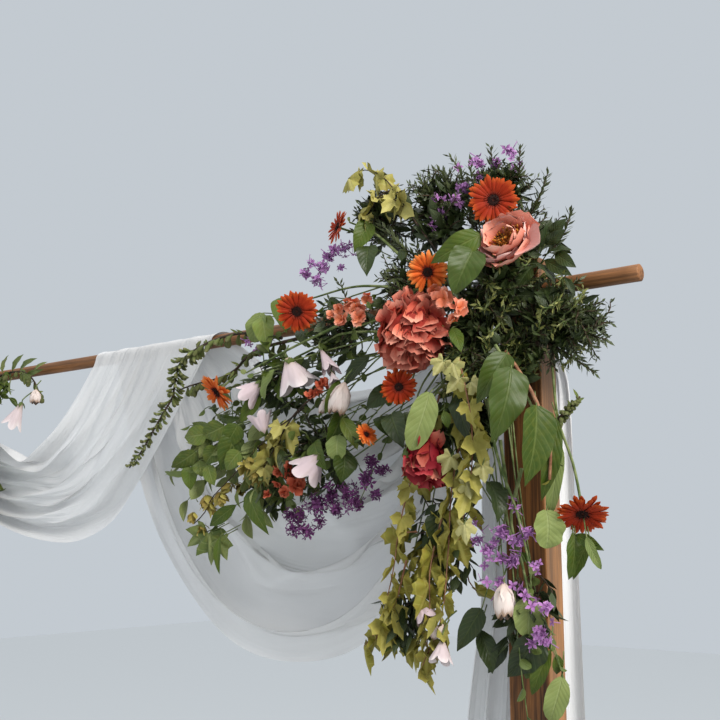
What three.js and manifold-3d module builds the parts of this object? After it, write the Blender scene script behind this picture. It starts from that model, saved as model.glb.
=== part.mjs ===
// A wooden wedding arch: two timber posts on plank feet carry a round pole. A long cloth hangs from the
// pole in two swags and two tails, and a spray of artificial flowers is fixed at each corner.
// Millimetres, +Z up, +X along the pole, the front faces -Y. The origin is on the ground midway
// between the posts.
import * as THREE from "three";
import { mergeVertices } from "three/addons/utils/BufferGeometryUtils.js";
import Module from "manifold-3d";

const wasm = await Module();
wasm.setup();

// Timber frame
const POLE_LENGTH = 3000;
const POLE_RADIUS = 17;
const POLE_HEIGHT = 2200; // the pole's axis above the ground
const POST_SPACING = 2500; // between the centres of the posts
const POST_WIDE = 90; // along the pole
const POST_DEEP = 65;
const POST_ABOVE_POLE = 60;
const FOOT_LENGTH = 900;
const FOOT_TALL = 95;
const FOOT_THICK = 35;
const PEG_RADIUS = 6;
const BOLT_RADIUS = 6;
const BOLT_HEIGHTS = [26, 69];
const BOLT_HEAD = { radius: 15, tall: 6 };
const BOLT_NUT = { radius: 11, tall: 9 };

// Cloth and flowers
const FIT = 0.3; // clearance between touching pieces
const CLOTH_THICK = 7;
const SADDLE_OUTER = 25; // the cloth over the pole, from the pole's axis
const SADDLE_DROP = 12; // how far the saddle reaches below the axis
const SADDLE_ENDS = [-150, 400];
const GATHER_RADIUS = 45;
const GATHER_WIDE = 70;
const TAIL_BOTTOM = 120;
const GERBERA_STEM = 3.5;
const SPIKE_RADIUS = 11;

const POST_X = POST_SPACING / 2;
const POST_INNER = POST_X - POST_WIDE / 2;
const CLOTH_TOP = POLE_HEIGHT - SADDLE_DROP - FIT;
const CLOTH_MIDDLE = SADDLE_OUTER - CLOTH_THICK / 2 - FIT; // the sheet's middle beside the pole
const GATHER_INNER_FACE = POST_INNER - 10 - GATHER_WIDE;

const paint = (color, roughness = 0.8) =>
  new THREE.MeshStandardMaterial({ color, roughness, metalness: 0 });
const PAINTS = {
  post: paint("#4a3018", 0.6),
  pole: paint("#a07042", 0.55),
  foot: paint("#4a3018", 0.65),
  peg: paint("#b08a5c", 0.6),
  cloth: paint("#dcdcde", 0.9),
  leaf: paint("#3f5a2c", 0.7),
  trail: paint("#7d8a45", 0.7),
  seed: paint("#55603a", 0.75),
  gerbera: paint("#cf5420", 0.7),
  peony: paint("#e0705c", 0.7),
};
PAINTS.bolt = new THREE.MeshStandardMaterial({ color: "#6c6e70", roughness: 0.45, metalness: 1 });

const arch = new THREE.Group();

function addPiece(name, geometry, material) {
  const mesh = new THREE.Mesh(geometry, material);
  mesh.name = name;
  arch.add(mesh);
}

// Closed geometry to a solid and back
function toSolid(geometry) {
  const bare = geometry.clone();
  bare.deleteAttribute("normal");
  bare.deleteAttribute("uv");
  const merged = mergeVertices(bare, 1e-4);
  const mesh = { numProp: 3, vertProperties: merged.attributes.position.array };
  mesh.triVerts = new Uint32Array(merged.index.array);
  return new wasm.Manifold(new wasm.Mesh(mesh));
}

function toGeometry(solid) {
  const { vertProperties, triVerts } = solid.getMesh();
  const geometry = new THREE.BufferGeometry();
  geometry.setAttribute("position", new THREE.BufferAttribute(vertProperties, 3));
  geometry.setIndex(new THREE.BufferAttribute(triVerts, 1));
  return geometry;
}

const joined = (solids) => solids.reduce((sum, next) => sum.add(next));
const cut = (solid, tools) => tools.reduce((rest, tool) => rest.subtract(tool), solid);

// The biggest body of a solid that its neighbours cut apart
function mainBody(solid) {
  return solid.decompose().reduce((best, body) => (body.volume() > best.volume() ? body : best));
}

const boxSolid = (wide, deep, tall, x, y, z) =>
  toSolid(new THREE.BoxGeometry(wide, deep, tall).translate(x, y, z));

const rodAlongX = (radius, length, x, y, z, sides = 16) =>
  toSolid(new THREE.CylinderGeometry(radius, radius, length, sides).rotateZ(Math.PI / 2).translate(x, y, z));

const rodAlongY = (radius, length, x, z, sides = 16) =>
  toSolid(new THREE.CylinderGeometry(radius, radius, length, sides).translate(x, 0, z));

// A tube along a smooth curve through the points
function tubeSolid(points, radius, sides, steps) {
  const path = new THREE.CatmullRomCurve3(points.map((p) => new THREE.Vector3(...p)));
  const ring = new THREE.Shape();
  for (let side = 0; side < sides; side++) {
    const angle = (side / sides) * 2 * Math.PI;
    const corner = [radius * Math.cos(angle), radius * Math.sin(angle)];
    if (side === 0) ring.moveTo(...corner);
    else ring.lineTo(...corner);
  }
  ring.closePath();
  return toSolid(new THREE.ExtrudeGeometry(ring, { steps, extrudePath: path, bevelEnabled: false }));
}

// Timber frame
const poleSolid = (radius) => rodAlongX(radius, POLE_LENGTH, 0, 0, POLE_HEIGHT, 32);
const postTall = POLE_HEIGHT + POST_ABOVE_POLE;
const postBlock = (side, grow) =>
  boxSolid(
    POST_WIDE + 2 * grow,
    POST_DEEP + 2 * grow,
    postTall + 2 * grow,
    side * POST_X,
    0,
    postTall / 2,
  );

function addFrame() {
  const pegHoles = [-1, 1].map((side) =>
    rodAlongY(PEG_RADIUS + FIT, 4 * POLE_RADIUS, side * POST_X, POLE_HEIGHT),
  );
  addPiece("top_pole", toGeometry(cut(poleSolid(POLE_RADIUS), pegHoles)), PAINTS.pole);

  for (const [word, side] of [["left", -1], ["right", 1]]) {
    const boltLength = POST_WIDE + 2 * FOOT_THICK;
    const boltHoles = BOLT_HEIGHTS.map((z) =>
      rodAlongX(BOLT_RADIUS + FIT, 2 * boltLength, side * POST_X, 0, z),
    );
    const postPegHole = rodAlongY(PEG_RADIUS + FIT, 2 * POST_DEEP, side * POST_X, POLE_HEIGHT);
    const post = cut(postBlock(side, 0), [poleSolid(POLE_RADIUS + FIT), postPegHole, ...boltHoles]);
    addPiece(`post_${word}`, toGeometry(post), PAINTS.post);

    const peg = rodAlongY(PEG_RADIUS, POST_DEEP, side * POST_X, POLE_HEIGHT);
    addPiece(`pole_peg_${word}`, toGeometry(peg), PAINTS.peg);

    for (const [place, outward] of [["inner", -1], ["outer", 1]]) {
      const x = side * (POST_X + outward * (POST_WIDE / 2 + FOOT_THICK / 2));
      const board = boxSolid(FOOT_THICK, FOOT_LENGTH, FOOT_TALL, x, 0, FOOT_TALL / 2);
      addPiece(`foot_board_${place}_${word}`, toGeometry(cut(board, boltHoles)), PAINTS.foot);
    }

    BOLT_HEIGHTS.forEach((z, index) => {
      const shank = rodAlongX(BOLT_RADIUS, boltLength + BOLT_NUT.tall, side * POST_X, 0, z);
      const headX = side * (POST_X + boltLength / 2 + BOLT_HEAD.tall / 2 + FIT);
      const nutX = side * (POST_X - boltLength / 2 - BOLT_NUT.tall / 2 - FIT);
      const head = rodAlongX(BOLT_HEAD.radius, BOLT_HEAD.tall, headX, 0, z);
      const nut = rodAlongX(BOLT_NUT.radius, BOLT_NUT.tall, nutX, 0, z, 6);
      const level = ["lower", "upper"][index];
      addPiece(`foot_bolt_${level}_${word}`, toGeometry(joined([shank, head, nut])), PAINTS.bolt);
    });
  }
}

// A hanging sheet between its upper and lower edge curves, thick along Y. Grow widens it all round.
function sheetSolid({ upper, lower, columns, rows }, grow = 0) {
  const curves = [upper, lower].map(
    (edge) => new THREE.CatmullRomCurve3(edge.map((p) => new THREE.Vector3(...p))),
  );
  const reach = grow / 300;
  const positions = [];
  for (const face of [-1, 1])
    for (let row = 0; row <= rows; row++)
      for (let column = 0; column <= columns; column++) {
        const along = column / columns;
        const across = -reach + (row / rows) * (1 + 2 * reach);
        const point = curves[0].getPoint(along).lerp(curves[1].getPoint(along), across);
        point.y += face * (CLOTH_THICK / 2 + grow);
        positions.push(point.x, point.y, point.z);
      }
  const width = columns + 1;
  const sheet = width * (rows + 1);
  const indices = [];
  const quad = (a, b, c, d) => indices.push(a, b, c, a, c, d);
  for (let row = 0; row < rows; row++)
    for (let column = 0; column < columns; column++) {
      const a = row * width + column;
      quad(a, a + 1, a + width + 1, a + width);
      quad(sheet + a, sheet + a + width, sheet + a + width + 1, sheet + a + 1);
    }
  const rim = [];
  for (let column = 0; column < columns; column++) rim.push(column);
  for (let row = 0; row < rows; row++) rim.push(row * width + columns);
  for (let column = columns; column > 0; column--) rim.push(rows * width + column);
  for (let row = rows; row > 0; row--) rim.push(row * width);
  rim.forEach((a, index) => {
    const b = rim[(index + 1) % rim.length];
    quad(b, a, sheet + a, sheet + b);
  });
  const geometry = new THREE.BufferGeometry();
  geometry.setAttribute("position", new THREE.Float32BufferAttribute(positions, 3));
  geometry.setIndex(indices);
  const solid = toSolid(geometry);
  if (solid.volume() > 0) return solid;
  for (let i = 0; i < indices.length; i += 3) [indices[i], indices[i + 1]] = [indices[i + 1], indices[i]];
  geometry.setIndex(indices);
  return toSolid(geometry);
}

// Edges of the sheets. The left swag hangs in front of the pole, the right one behind it.
const SWAG_END_X = GATHER_INNER_FACE - FIT;
const SWAG_RIGHT = {
  upper: [
    [390, CLOTH_MIDDLE, CLOTH_TOP],
    [600, 45, 2090],
    [830, 50, 2065],
    [1000, 42, 2110],
    [SWAG_END_X, 30, 2196],
  ],
  lower: [
    [-95, CLOTH_MIDDLE, CLOTH_TOP],
    [-15, 42, 1920],
    [120, 60, 1675],
    [350, 70, 1468],
    [600, 72, 1424],
    [830, 68, 1500],
    [1010, 55, 1760],
    [SWAG_END_X, 32, 2172],
  ],
  columns: 24,
  rows: 4,
};
const SWAG_LEFT = {
  upper: [
    [-145, -CLOTH_MIDDLE, CLOTH_TOP],
    [-272, -40, 2014],
    [-415, -48, 1921],
    [-620, -48, 2000],
    [-900, -42, 2120],
    [-SWAG_END_X, -30, 2196],
  ],
  lower: [
    [330, -CLOTH_MIDDLE, CLOTH_TOP],
    [110, -52, 1890],
    [10, -60, 1735],
    [-139, -66, 1687],
    [-285, -66, 1713],
    [-521, -62, 1789],
    [-820, -52, 1940],
    [-SWAG_END_X, -32, 2172],
  ],
  columns: 24,
  rows: 4,
};
const tailOf = (side) => ({
  upper: [
    [side * 1135, GATHER_RADIUS + CLOTH_THICK / 2 + FIT, 2215],
    [side * 1075, 52, 1800],
    [side * 1045, 56, 1335],
    [side * 1020, 58, TAIL_BOTTOM],
  ],
  lower: [
    [side * 1290, GATHER_RADIUS + CLOTH_THICK / 2 + FIT, 2215],
    [side * 1308, 52, 1800],
    [side * 1318, 56, 1335],
    [side * 1330, 58, TAIL_BOTTOM],
  ],
  columns: 8,
  rows: 3,
});

// The cloth over the pole, an arch section drawn out along the pole
function saddleSolid(grow = 0) {
  const shape = new THREE.Shape();
  const outer = SADDLE_OUTER + grow;
  const inner = POLE_RADIUS + FIT;
  shape.moveTo(outer, -SADDLE_DROP - grow);
  shape.absarc(0, 0, outer, 0, Math.PI, false);
  shape.lineTo(-outer, -SADDLE_DROP - grow);
  shape.lineTo(-inner, -SADDLE_DROP - grow);
  shape.absarc(0, 0, inner, Math.PI, 0, true);
  shape.lineTo(inner, -SADDLE_DROP - grow);
  shape.closePath();
  const depth = SADDLE_ENDS[1] - SADDLE_ENDS[0] + 2 * grow;
  const geometry = new THREE.ExtrudeGeometry(shape, { depth, bevelEnabled: false, curveSegments: 12 });
  geometry.rotateX(Math.PI / 2).rotateZ(Math.PI / 2);
  return toSolid(geometry.translate(SADDLE_ENDS[0] - grow, 0, POLE_HEIGHT));
}

// The bunched cloth wound round the pole beside a post
function gatherSolid(side, grow = 0) {
  const inner = POLE_RADIUS + FIT;
  const outer = GATHER_RADIUS + grow;
  const half = GATHER_WIDE / 2 + grow;
  const profile = [
    [inner, -half],
    [outer - 8, -half],
    [outer, -half + 12],
    [outer, half - 12],
    [outer - 8, half],
    [inner, half],
    [inner, -half],
  ].map(([x, y]) => new THREE.Vector2(x, y));
  const middle = side * (GATHER_INNER_FACE + GATHER_WIDE / 2);
  const ring = new THREE.LatheGeometry(profile, 20).rotateZ(Math.PI / 2);
  return toSolid(ring.translate(middle, 0, POLE_HEIGHT));
}

function addCloth() {
  addPiece("drape_over_pole", toGeometry(saddleSolid()), PAINTS.cloth);
  addPiece("drape_swag_left", toGeometry(sheetSolid(SWAG_LEFT)), PAINTS.cloth);
  addPiece("drape_swag_right", toGeometry(sheetSolid(SWAG_RIGHT)), PAINTS.cloth);
  for (const [word, side] of [["left", -1], ["right", 1]]) {
    addPiece(`drape_gather_${word}`, toGeometry(gatherSolid(side)), PAINTS.cloth);
    addPiece(`drape_tail_${word}`, toGeometry(sheetSolid(tailOf(side))), PAINTS.cloth);
  }
}

// Spray of the right corner. Each foliage mass is a few lumps: centre x, y, z and radii x, y, z.
const CROWN = [
  [1240, -40, 2235, 150, 130, 165],
  [1075, -45, 2390, 130, 85, 105],
  [930, -55, 2390, 95, 65, 95],
  [1060, -60, 2205, 170, 115, 150],
  [1345, -40, 2090, 120, 95, 110],
  [1225, -55, 2385, 90, 65, 85],
];
const SWEEP = [
  [850, -80, 2150, 150, 90, 125],
  [640, -80, 2070, 150, 85, 130],
  [450, -80, 1950, 120, 70, 150],
  [800, -90, 1880, 150, 85, 130],
  [640, -85, 1840, 110, 65, 120],
];
const FALL = [
  [1110, -100, 1940, 140, 90, 150],
  [1120, -100, 1730, 130, 80, 160],
  [1010, -100, 1580, 90, 60, 130],
  [1280, -95, 1600, 85, 58, 150],
  [1300, -85, 1455, 55, 45, 80],
];
const SPIKE = [
  [640, -85, 2140],
  [530, -88, 2172],
  [355, -88, 2162],
  [266, -88, 2016],
  [190, -86, 1945],
  [98, -84, 1881],
];
// Gerbera heads: centre, the way they face, head radius and the stem's points back into the foliage
const GERBERAS = {
  top: { at: [1243, -125, 2370], facing: [0.5, -0.84, -0.2], radius: 50 },
  upper: { at: [1132, -190, 2221], facing: [0.42, -0.85, -0.3], radius: 43 },
  side: { at: [754, -160, 2196], facing: [0.5, -0.8, -0.35], radius: 48 },
  middle: { at: [1057, -190, 1995], facing: [0.7, -0.6, -0.35], radius: 38 },
  sweep: { at: [450, -140, 2051], facing: [-0.35, -0.55, 0.75], radius: 42 },
  low: { at: [1403, -90, 1739], facing: [0.3, -0.57, -0.76], radius: 48 },
};
const LOW_STEM = [
  [1400, -84, 1748],
  [1383, -80, 1830],
  [1352, -76, 1920],
  [1335, -60, 2025],
];
// The left spray reaches less far towards the middle, and its spike lies along the pole
const SWEEP_LEFT = [
  SWEEP[0],
  [680, -75, 2080, 125, 80, 115],
  [560, -62, 2150, 100, 55, 70],
  SWEEP[3],
  SWEEP[4],
];
const SPIKE_LEFT = [
  [640, -85, 2140],
  [570, -78, 2172],
  [500, -66, 2190],
  [430, -60, 2185],
  [370, -64, 2150],
  [325, -72, 2100],
];
const GERBERAS_LEFT = { ...GERBERAS, sweep: { ...GERBERAS.sweep, at: [585, -125, 2095] } };
// Peony heads: centre and radius
const PEONIES = {
  big: { at: [1090, -185, 2106], radius: 92 },
  top: { at: [1290, -145, 2271], radius: 62 },
  low: { at: [1109, -170, 1849], radius: 58 },
};

const mirrored = (point, side) => [side * point[0], point[1], point[2]];

function lumpSolid([x, y, z, rx, ry, rz], side, grow = 0) {
  const ball = new THREE.SphereGeometry(1, 8, 6).rotateX(Math.PI / 2);
  return toSolid(ball.scale(rx + grow, ry + grow, rz + grow).translate(side * x, y, z));
}

const massSolid = (lumps, side, grow = 0) => joined(lumps.map((lump) => lumpSolid(lump, side, grow)));

// A shallow cup of petals round a low button, with its stem
function gerberaSolid({ at, facing, radius }, side, grow = 0, stemPoints = null) {
  const profile = [
    [0, -10 - grow],
    [0.3 * radius, -8 - grow],
    [radius + grow, 4 - grow],
    [radius + grow, 8 + grow],
    [0.42 * radius, 5 + grow],
    [0.3 * radius, 11 + grow],
    [0, 12 + grow],
  ].map(([x, y]) => new THREE.Vector2(x, y));
  const normal = new THREE.Vector3(...mirrored(facing, side)).normalize();
  const turn = new THREE.Quaternion().setFromUnitVectors(new THREE.Vector3(0, 1, 0), normal);
  const centre = new THREE.Vector3(...mirrored(at, side));
  const head = new THREE.LatheGeometry(profile, 10).applyQuaternion(turn).translate(...centre.toArray());
  const behind = centre.clone().addScaledVector(normal, -70);
  const stem = stemPoints
    ? stemPoints.map((point) => mirrored(point, side))
    : [centre.toArray(), behind.toArray()];
  const steps = stemPoints ? 8 : 1;
  return toSolid(head).add(tubeSolid(stem, GERBERA_STEM + grow, 6, steps));
}

function peonySolid({ at, radius }, side, grow = 0) {
  return lumpSolid([...at, radius, 0.8 * radius, 0.92 * radius], side, grow);
}

function addSpray(word, side, { gerberas, spike, sweep }) {
  const swag = side > 0 ? SWAG_RIGHT : SWAG_LEFT;
  const held = [
    poleSolid(POLE_RADIUS + FIT),
    postBlock(side, FIT),
    sheetSolid(swag, 1),
    sheetSolid(tailOf(side), 1),
    saddleSolid(1),
    gatherSolid(side, FIT),
  ];
  const flowers = [];
  const place = (name, make, material) => {
    const solid = mainBody(cut(make(0), [...held, ...flowers]));
    addPiece(`${name}_${word}`, toGeometry(solid), material);
    flowers.push(make(FIT));
  };
  for (const [name, peony] of Object.entries(PEONIES))
    place(`peony_${name}`, (grow) => peonySolid(peony, side, grow), PAINTS.peony);
  for (const [name, gerbera] of Object.entries(gerberas)) {
    const stem = name === "low" ? LOW_STEM : null;
    place(`gerbera_${name}`, (grow) => gerberaSolid(gerbera, side, grow, stem), PAINTS.gerbera);
  }
  const spikePoints = spike.map((point) => mirrored(point, side));
  place("seed_spike", (grow) => tubeSolid(spikePoints, SPIKE_RADIUS + grow, 6, 12), PAINTS.seed);
  place("foliage_crown", (grow) => massSolid(CROWN, side, grow), PAINTS.leaf);
  place("foliage_sweep", (grow) => massSolid(sweep, side, grow), PAINTS.leaf);
  place("foliage_fall", (grow) => massSolid(FALL, side, grow), PAINTS.trail);
}

addFrame();
addCloth();
addSpray("left", -1, { gerberas: GERBERAS_LEFT, spike: SPIKE_LEFT, sweep: SWEEP_LEFT });
addSpray("right", 1, { gerberas: GERBERAS, spike: SPIKE, sweep: SWEEP });

export default arch;
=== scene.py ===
import math

import bmesh
import bpy
import numpy as np
from bpy.props import FloatProperty, FloatVectorProperty, IntProperty, PointerProperty
from mathutils import Matrix, Vector


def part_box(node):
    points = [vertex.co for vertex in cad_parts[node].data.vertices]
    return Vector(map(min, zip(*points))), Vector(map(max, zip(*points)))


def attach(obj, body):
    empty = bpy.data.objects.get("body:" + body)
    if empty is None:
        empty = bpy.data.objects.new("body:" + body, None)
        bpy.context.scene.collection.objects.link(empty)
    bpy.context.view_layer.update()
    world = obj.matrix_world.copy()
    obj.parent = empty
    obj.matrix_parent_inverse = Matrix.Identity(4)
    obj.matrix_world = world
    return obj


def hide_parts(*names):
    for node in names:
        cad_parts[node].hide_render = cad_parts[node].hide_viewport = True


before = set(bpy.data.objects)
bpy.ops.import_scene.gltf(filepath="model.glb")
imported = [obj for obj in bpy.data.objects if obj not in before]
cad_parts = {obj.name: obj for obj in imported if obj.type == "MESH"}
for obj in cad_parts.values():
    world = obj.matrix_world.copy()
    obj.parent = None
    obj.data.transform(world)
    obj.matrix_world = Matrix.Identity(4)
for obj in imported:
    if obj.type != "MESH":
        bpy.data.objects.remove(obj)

bl_info = {
    "name": "Wooden wedding arch",
    "version": (1, 0, 0),
    "blender": (4, 5, 0),
    "location": "View3D > Sidebar > Wedding arch",
    "description": "Makes a draped wooden arch with a flower spray at each corner",
    "category": "Object",
}

# Places, widths and radii in the tables are millimetres in the arch's frame. All else is in metres, also the
# leaf shapes and the creases.
MM = 0.001
TAU = 2 * math.pi
GOLDEN_ANGLE = math.pi * (3 - math.sqrt(5))
POLE_RADIUS = 0.017
POLE_Z = 2.2
POLE_END = 1.5
POST_X = 1.25
POST_HALF_X, POST_HALF_Y = 0.045, 0.0325
POST_TOP = 2.26
PEG_RADIUS = 0.006
LEFT_SEED = 50  # added to the seeds of the left spray
SIDES = (("right", 1), ("left", -1))
LOOKING = np.array([0.53, -0.83, -0.15])  # from the spray towards the viewer
TO_GROUND = np.array([0.0, 0.0, -1.0])
SPARE_FACE = (0.13, -0.2, 1.0)  # for a leaf that would face along its own length


def unit(v):
    v = np.asarray(v, float)
    return v / max(np.linalg.norm(v), 1e-9)


def between(a, b, share):
    return (1 - share) * a + share * b


def smooth_step(x):
    x = np.clip(x, 0, 1)
    return x * x * (3 - 2 * x)


def spread_along(points, count):
    """Points evenly spaced along a smooth curve through the given ones, and the curve's length."""
    p = np.array(points, float)
    p = np.vstack([2 * p[0] - p[1], p, 2 * p[-1] - p[-2]])
    t = np.linspace(0, 1, 32, endpoint=False)[:, None]
    parts = []
    for a, b, c, d in zip(p[:-3], p[1:-2], p[2:-1], p[3:]):
        bend = (2 * a - 5 * b + 4 * c - d) * t**2 + (-a + 3 * b - 3 * c + d) * t**3
        parts.append(0.5 * (2 * b + (c - a) * t + bend))
    path = np.vstack([*parts, p[-2][None]])
    reach = np.r_[0, np.cumsum(np.linalg.norm(np.diff(path, axis=0), axis=1))]
    at = np.linspace(0, reach[-1], count)
    return np.stack([np.interp(at, reach, path[:, k]) for k in range(3)], 1), reach[-1]


def placing(ahead, face):
    """Rotation whose columns are side, ahead and face."""
    y = unit(ahead)
    for way in (face, SPARE_FACE):
        z = np.asarray(way, float) - np.dot(way, y) * y
        if np.linalg.norm(z) >= 1e-3:
            break
    z = unit(z)
    return np.stack([np.cross(y, z), y, z], 1)


def lathe(profile, columns):
    """A grid of points from radius and height pairs, turned round Z."""
    angle = np.linspace(0, TAU, columns, endpoint=False)
    r, h = np.array(profile, float).T[:, :, None]
    return np.stack([r * np.cos(angle), r * np.sin(angle), h + 0 * angle], -1)


def ball(columns, rows):
    """A round lump of radius 1."""
    p = np.linspace(0.02, math.pi - 0.02, rows)
    return lathe(np.stack([np.sin(p), -np.cos(p)], 1), columns)


def outward(angle, up=0.0, far=1.0):
    """A point round the Z axis."""
    return np.array([far * math.cos(angle), far * math.sin(angle), up])


def leaning(out, lean):
    """The way a petal runs that leans out from Z, and the way its upper face looks."""
    up = np.array([0, 0, 1])
    return out * math.sin(lean) + up * math.cos(lean), up * math.sin(lean) - out * math.cos(lean)


class Sheaf:
    """Collects grids and tubes into one mesh with a UV map and a tint per point."""

    def __init__(self):
        self.points, self.faces, self.uvs, self.tints, self.slots = [], [], [], [], []
        self.count = 0

    def grid(self, points, slot=0, tint=0.5, uv=None, closed=False):
        rows, cols = points.shape[:2]
        if uv is None:
            v, u = np.meshgrid(np.linspace(0, 1, rows), np.linspace(0, 1, cols), indexing="ij")
            uv = np.stack([u, v], -1)
        index = np.arange(rows * cols).reshape(rows, cols) + self.count
        after = np.roll(index, -1, 1) if closed else index[:, 1:]
        here = index if closed else index[:, :-1]
        quads = np.stack([here[:-1], after[:-1], after[1:], here[1:]], -1).reshape(-1, 4)
        self.points.append(points.reshape(-1, 3))
        self.uvs.append(uv.reshape(-1, 2))
        self.tints.append(np.full(rows * cols, tint, float))
        self.faces.append(quads)
        self.slots.append(np.full(len(quads), slot))
        self.count += rows * cols

    def tube(self, path, radii, slot=0, tint=0.5, sides=6):
        """A closed tube; its ends are drawn in to a point."""
        path = np.asarray(path, float)
        radii = np.broadcast_to(np.asarray(radii, float), (len(path),)).copy()
        ahead = np.gradient(path, axis=0)
        ahead /= np.maximum(np.linalg.norm(ahead, axis=1), 1e-9)[:, None]
        guide = np.array([0.31, 0.17, 0.93]) if abs(ahead[0][2]) < 0.8 else np.array([0.93, 0.2, 0.1])
        side = np.cross(ahead, guide)
        side /= np.linalg.norm(side, axis=1)[:, None]
        up = np.cross(side, ahead)
        path = np.vstack([path[:1], path, path[-1:]])
        side, up = (np.vstack([w[:1], w, w[-1:]]) for w in (side, up))
        radii = np.r_[1e-5, radii, 1e-5]
        turn = np.linspace(0, TAU, sides, endpoint=False)
        ring = np.cos(turn)[None, :, None] * side[:, None] + np.sin(turn)[None, :, None] * up[:, None]
        self.grid(path[:, None] + ring * radii[:, None, None], slot, tint, closed=True)

    def blade(self, base, turn, slot=0, tint=0.5, rng=None, **shape):
        """A leaf or petal. With rng, a pair of numbers stands for a random value between them."""
        if rng is not None:
            shape = {key: v[0] + (v[1] - v[0]) * rng.uniform() if isinstance(v, tuple) else v
                     for key, v in shape.items()}
        points, uv = palmate_shape(**shape) if "lobes" in shape else blade_shape(**shape)
        self.grid(points @ turn.T + base, slot, tint, uv)

    def make(self, name, finishes, flip=False):
        """The mesh as an object. A finish is a material or the name of one; flip mirrors it in x."""
        points, faces = np.vstack(self.points), np.vstack(self.faces)
        if flip:
            points, faces = points * (-1, 1, 1), faces[:, ::-1]
        mesh = bpy.data.meshes.new(name)
        mesh.from_pydata(points.tolist(), [], faces.tolist())
        layer = mesh.uv_layers.new(name="UVMap")
        layer.data.foreach_set("uv", np.vstack(self.uvs)[faces.reshape(-1)].astype(np.float32).reshape(-1))
        tint = mesh.attributes.new("tint", "FLOAT", "POINT")
        tint.data.foreach_set("value", np.concatenate(self.tints).astype(np.float32))
        for finish in finishes:
            mesh.materials.append(finish_named(finish) if isinstance(finish, str) else finish)
        mesh.polygons.foreach_set("material_index", np.concatenate(self.slots).astype(np.int32))
        mesh.polygons.foreach_set("use_smooth", np.ones(len(faces), bool))
        mesh.update()
        return linked(name, mesh)


def linked(name, mesh):
    obj = bpy.data.objects.new(name, mesh)
    bpy.context.scene.collection.objects.link(obj)
    return obj


# Outlines of leaves and petals: share of the length, share of the half width
OUTLINES = {
    "oval": [(0, 0.03), (0.1, 0.42), (0.25, 0.82), (0.42, 1), (0.6, 0.9), (0.78, 0.58), (0.92, 0.22), (1, 0)],
    "heart": [(0, 0.2), (0.07, 0.72), (0.2, 0.97), (0.35, 1), (0.55, 0.82), (0.75, 0.5), (0.9, 0.18), (1, 0)],
    "lance": [(0, 0.1), (0.15, 0.65), (0.35, 1), (0.6, 0.85), (0.85, 0.4), (1, 0)],
    "round": [(0, 0.2), (0.12, 0.7), (0.3, 0.97), (0.5, 1), (0.75, 0.85), (0.92, 0.5), (1, 0.08)],
    "petal": [(0, 0.22), (0.2, 0.5), (0.45, 0.82), (0.7, 1), (0.87, 0.93), (0.97, 0.62), (1, 0.35)],
    "ray": [(0, 0.35), (0.2, 0.6), (0.5, 0.88), (0.75, 1), (0.9, 0.9), (0.97, 0.64), (1, 0.22)],
}
RIM_FROM = 0.94  # share of a petal's length from which its rim is notched


def blade_shape(length, width, outline="oval", rows=8, cols=4, curl=0.0, start=None, cup=0.0, fold=0.0,
        wave=0.0, waves=3, phase=0.0, late=1.0, notch=0.0):
    """A leaf or petal as a grid: base at the origin, tip along +Y, upper face along +Z.

    curl is the turn from base to tip in radians, start the turn at the base; late moves the curl to the tip.
    """
    t = np.linspace(0, 1, rows + 1)
    s = np.linspace(-1, 1, cols + 1)[None, :]
    half = 0.5 * width * np.interp(t, *np.transpose(OUTLINES[outline]))[:, None]
    turn = (-curl / 2 if start is None else start) + curl * t**late
    middle = 0.5 * (turn[1:] + turn[:-1])
    y, z = (np.r_[0, np.cumsum(way(middle))][:, None] * (length / rows) for way in (np.cos, np.sin))
    x = s * half
    ripple = np.sin(TAU * waves * t + phase)[:, None] * np.sign(s) * np.abs(s) ** 1.5
    lift = cup * half * s**2 + fold * np.abs(x) + wave * half * ripple
    ahead = notch * length * np.cos(s * math.pi * 1.5 + phase) * (t[:, None] > RIM_FROM)
    cos, sin = np.cos(turn)[:, None], np.sin(turn)[:, None]
    points = np.stack([x, y + ahead * cos - lift * sin, z + ahead * sin + lift * cos], -1)
    return points, np.stack(np.broadcast_arrays((s + 1) / 2, t[:, None]), -1)


def palmate_shape(length, lobes=5, rows=3, cols=20, depth=0.5, curl=0.6, fold=0.12, phase=0.0, narrow=1.0,
        teeth=0.0):
    """A lobed leaf that fans out from its stalk: rows run outwards and columns go round."""
    angle = np.linspace(-2.35, 2.35, cols + 1)[None, :]
    share = np.linspace(0, 1, rows + 1)[:, None]
    spacing = 4.2 / lobes
    ridge = np.abs((angle / spacing + 0.5) % 1.0 - 0.5) * 2
    reach = (1 - depth * ridge**1.3) * (0.5 + 0.5 * np.cos(angle * 0.62) ** 2)
    reach = reach * (1 + teeth * share * np.cos(np.arange(cols + 1) * math.pi)[None, :])
    x = reach * share * np.sin(angle) * length * narrow
    y = reach * share * np.cos(angle) * length * 0.95
    z = -fold * length * share * ridge - curl * length * 0.45 * share**2 * reach**2
    z = z + 0.05 * length * np.sin(3 * angle + phase) * share
    points = np.stack([x, y, z], -1)
    return points, np.stack([0.5 + 0.55 * x / length, 0.1 + 0.85 * share * reach + 0 * x], -1)


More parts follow.
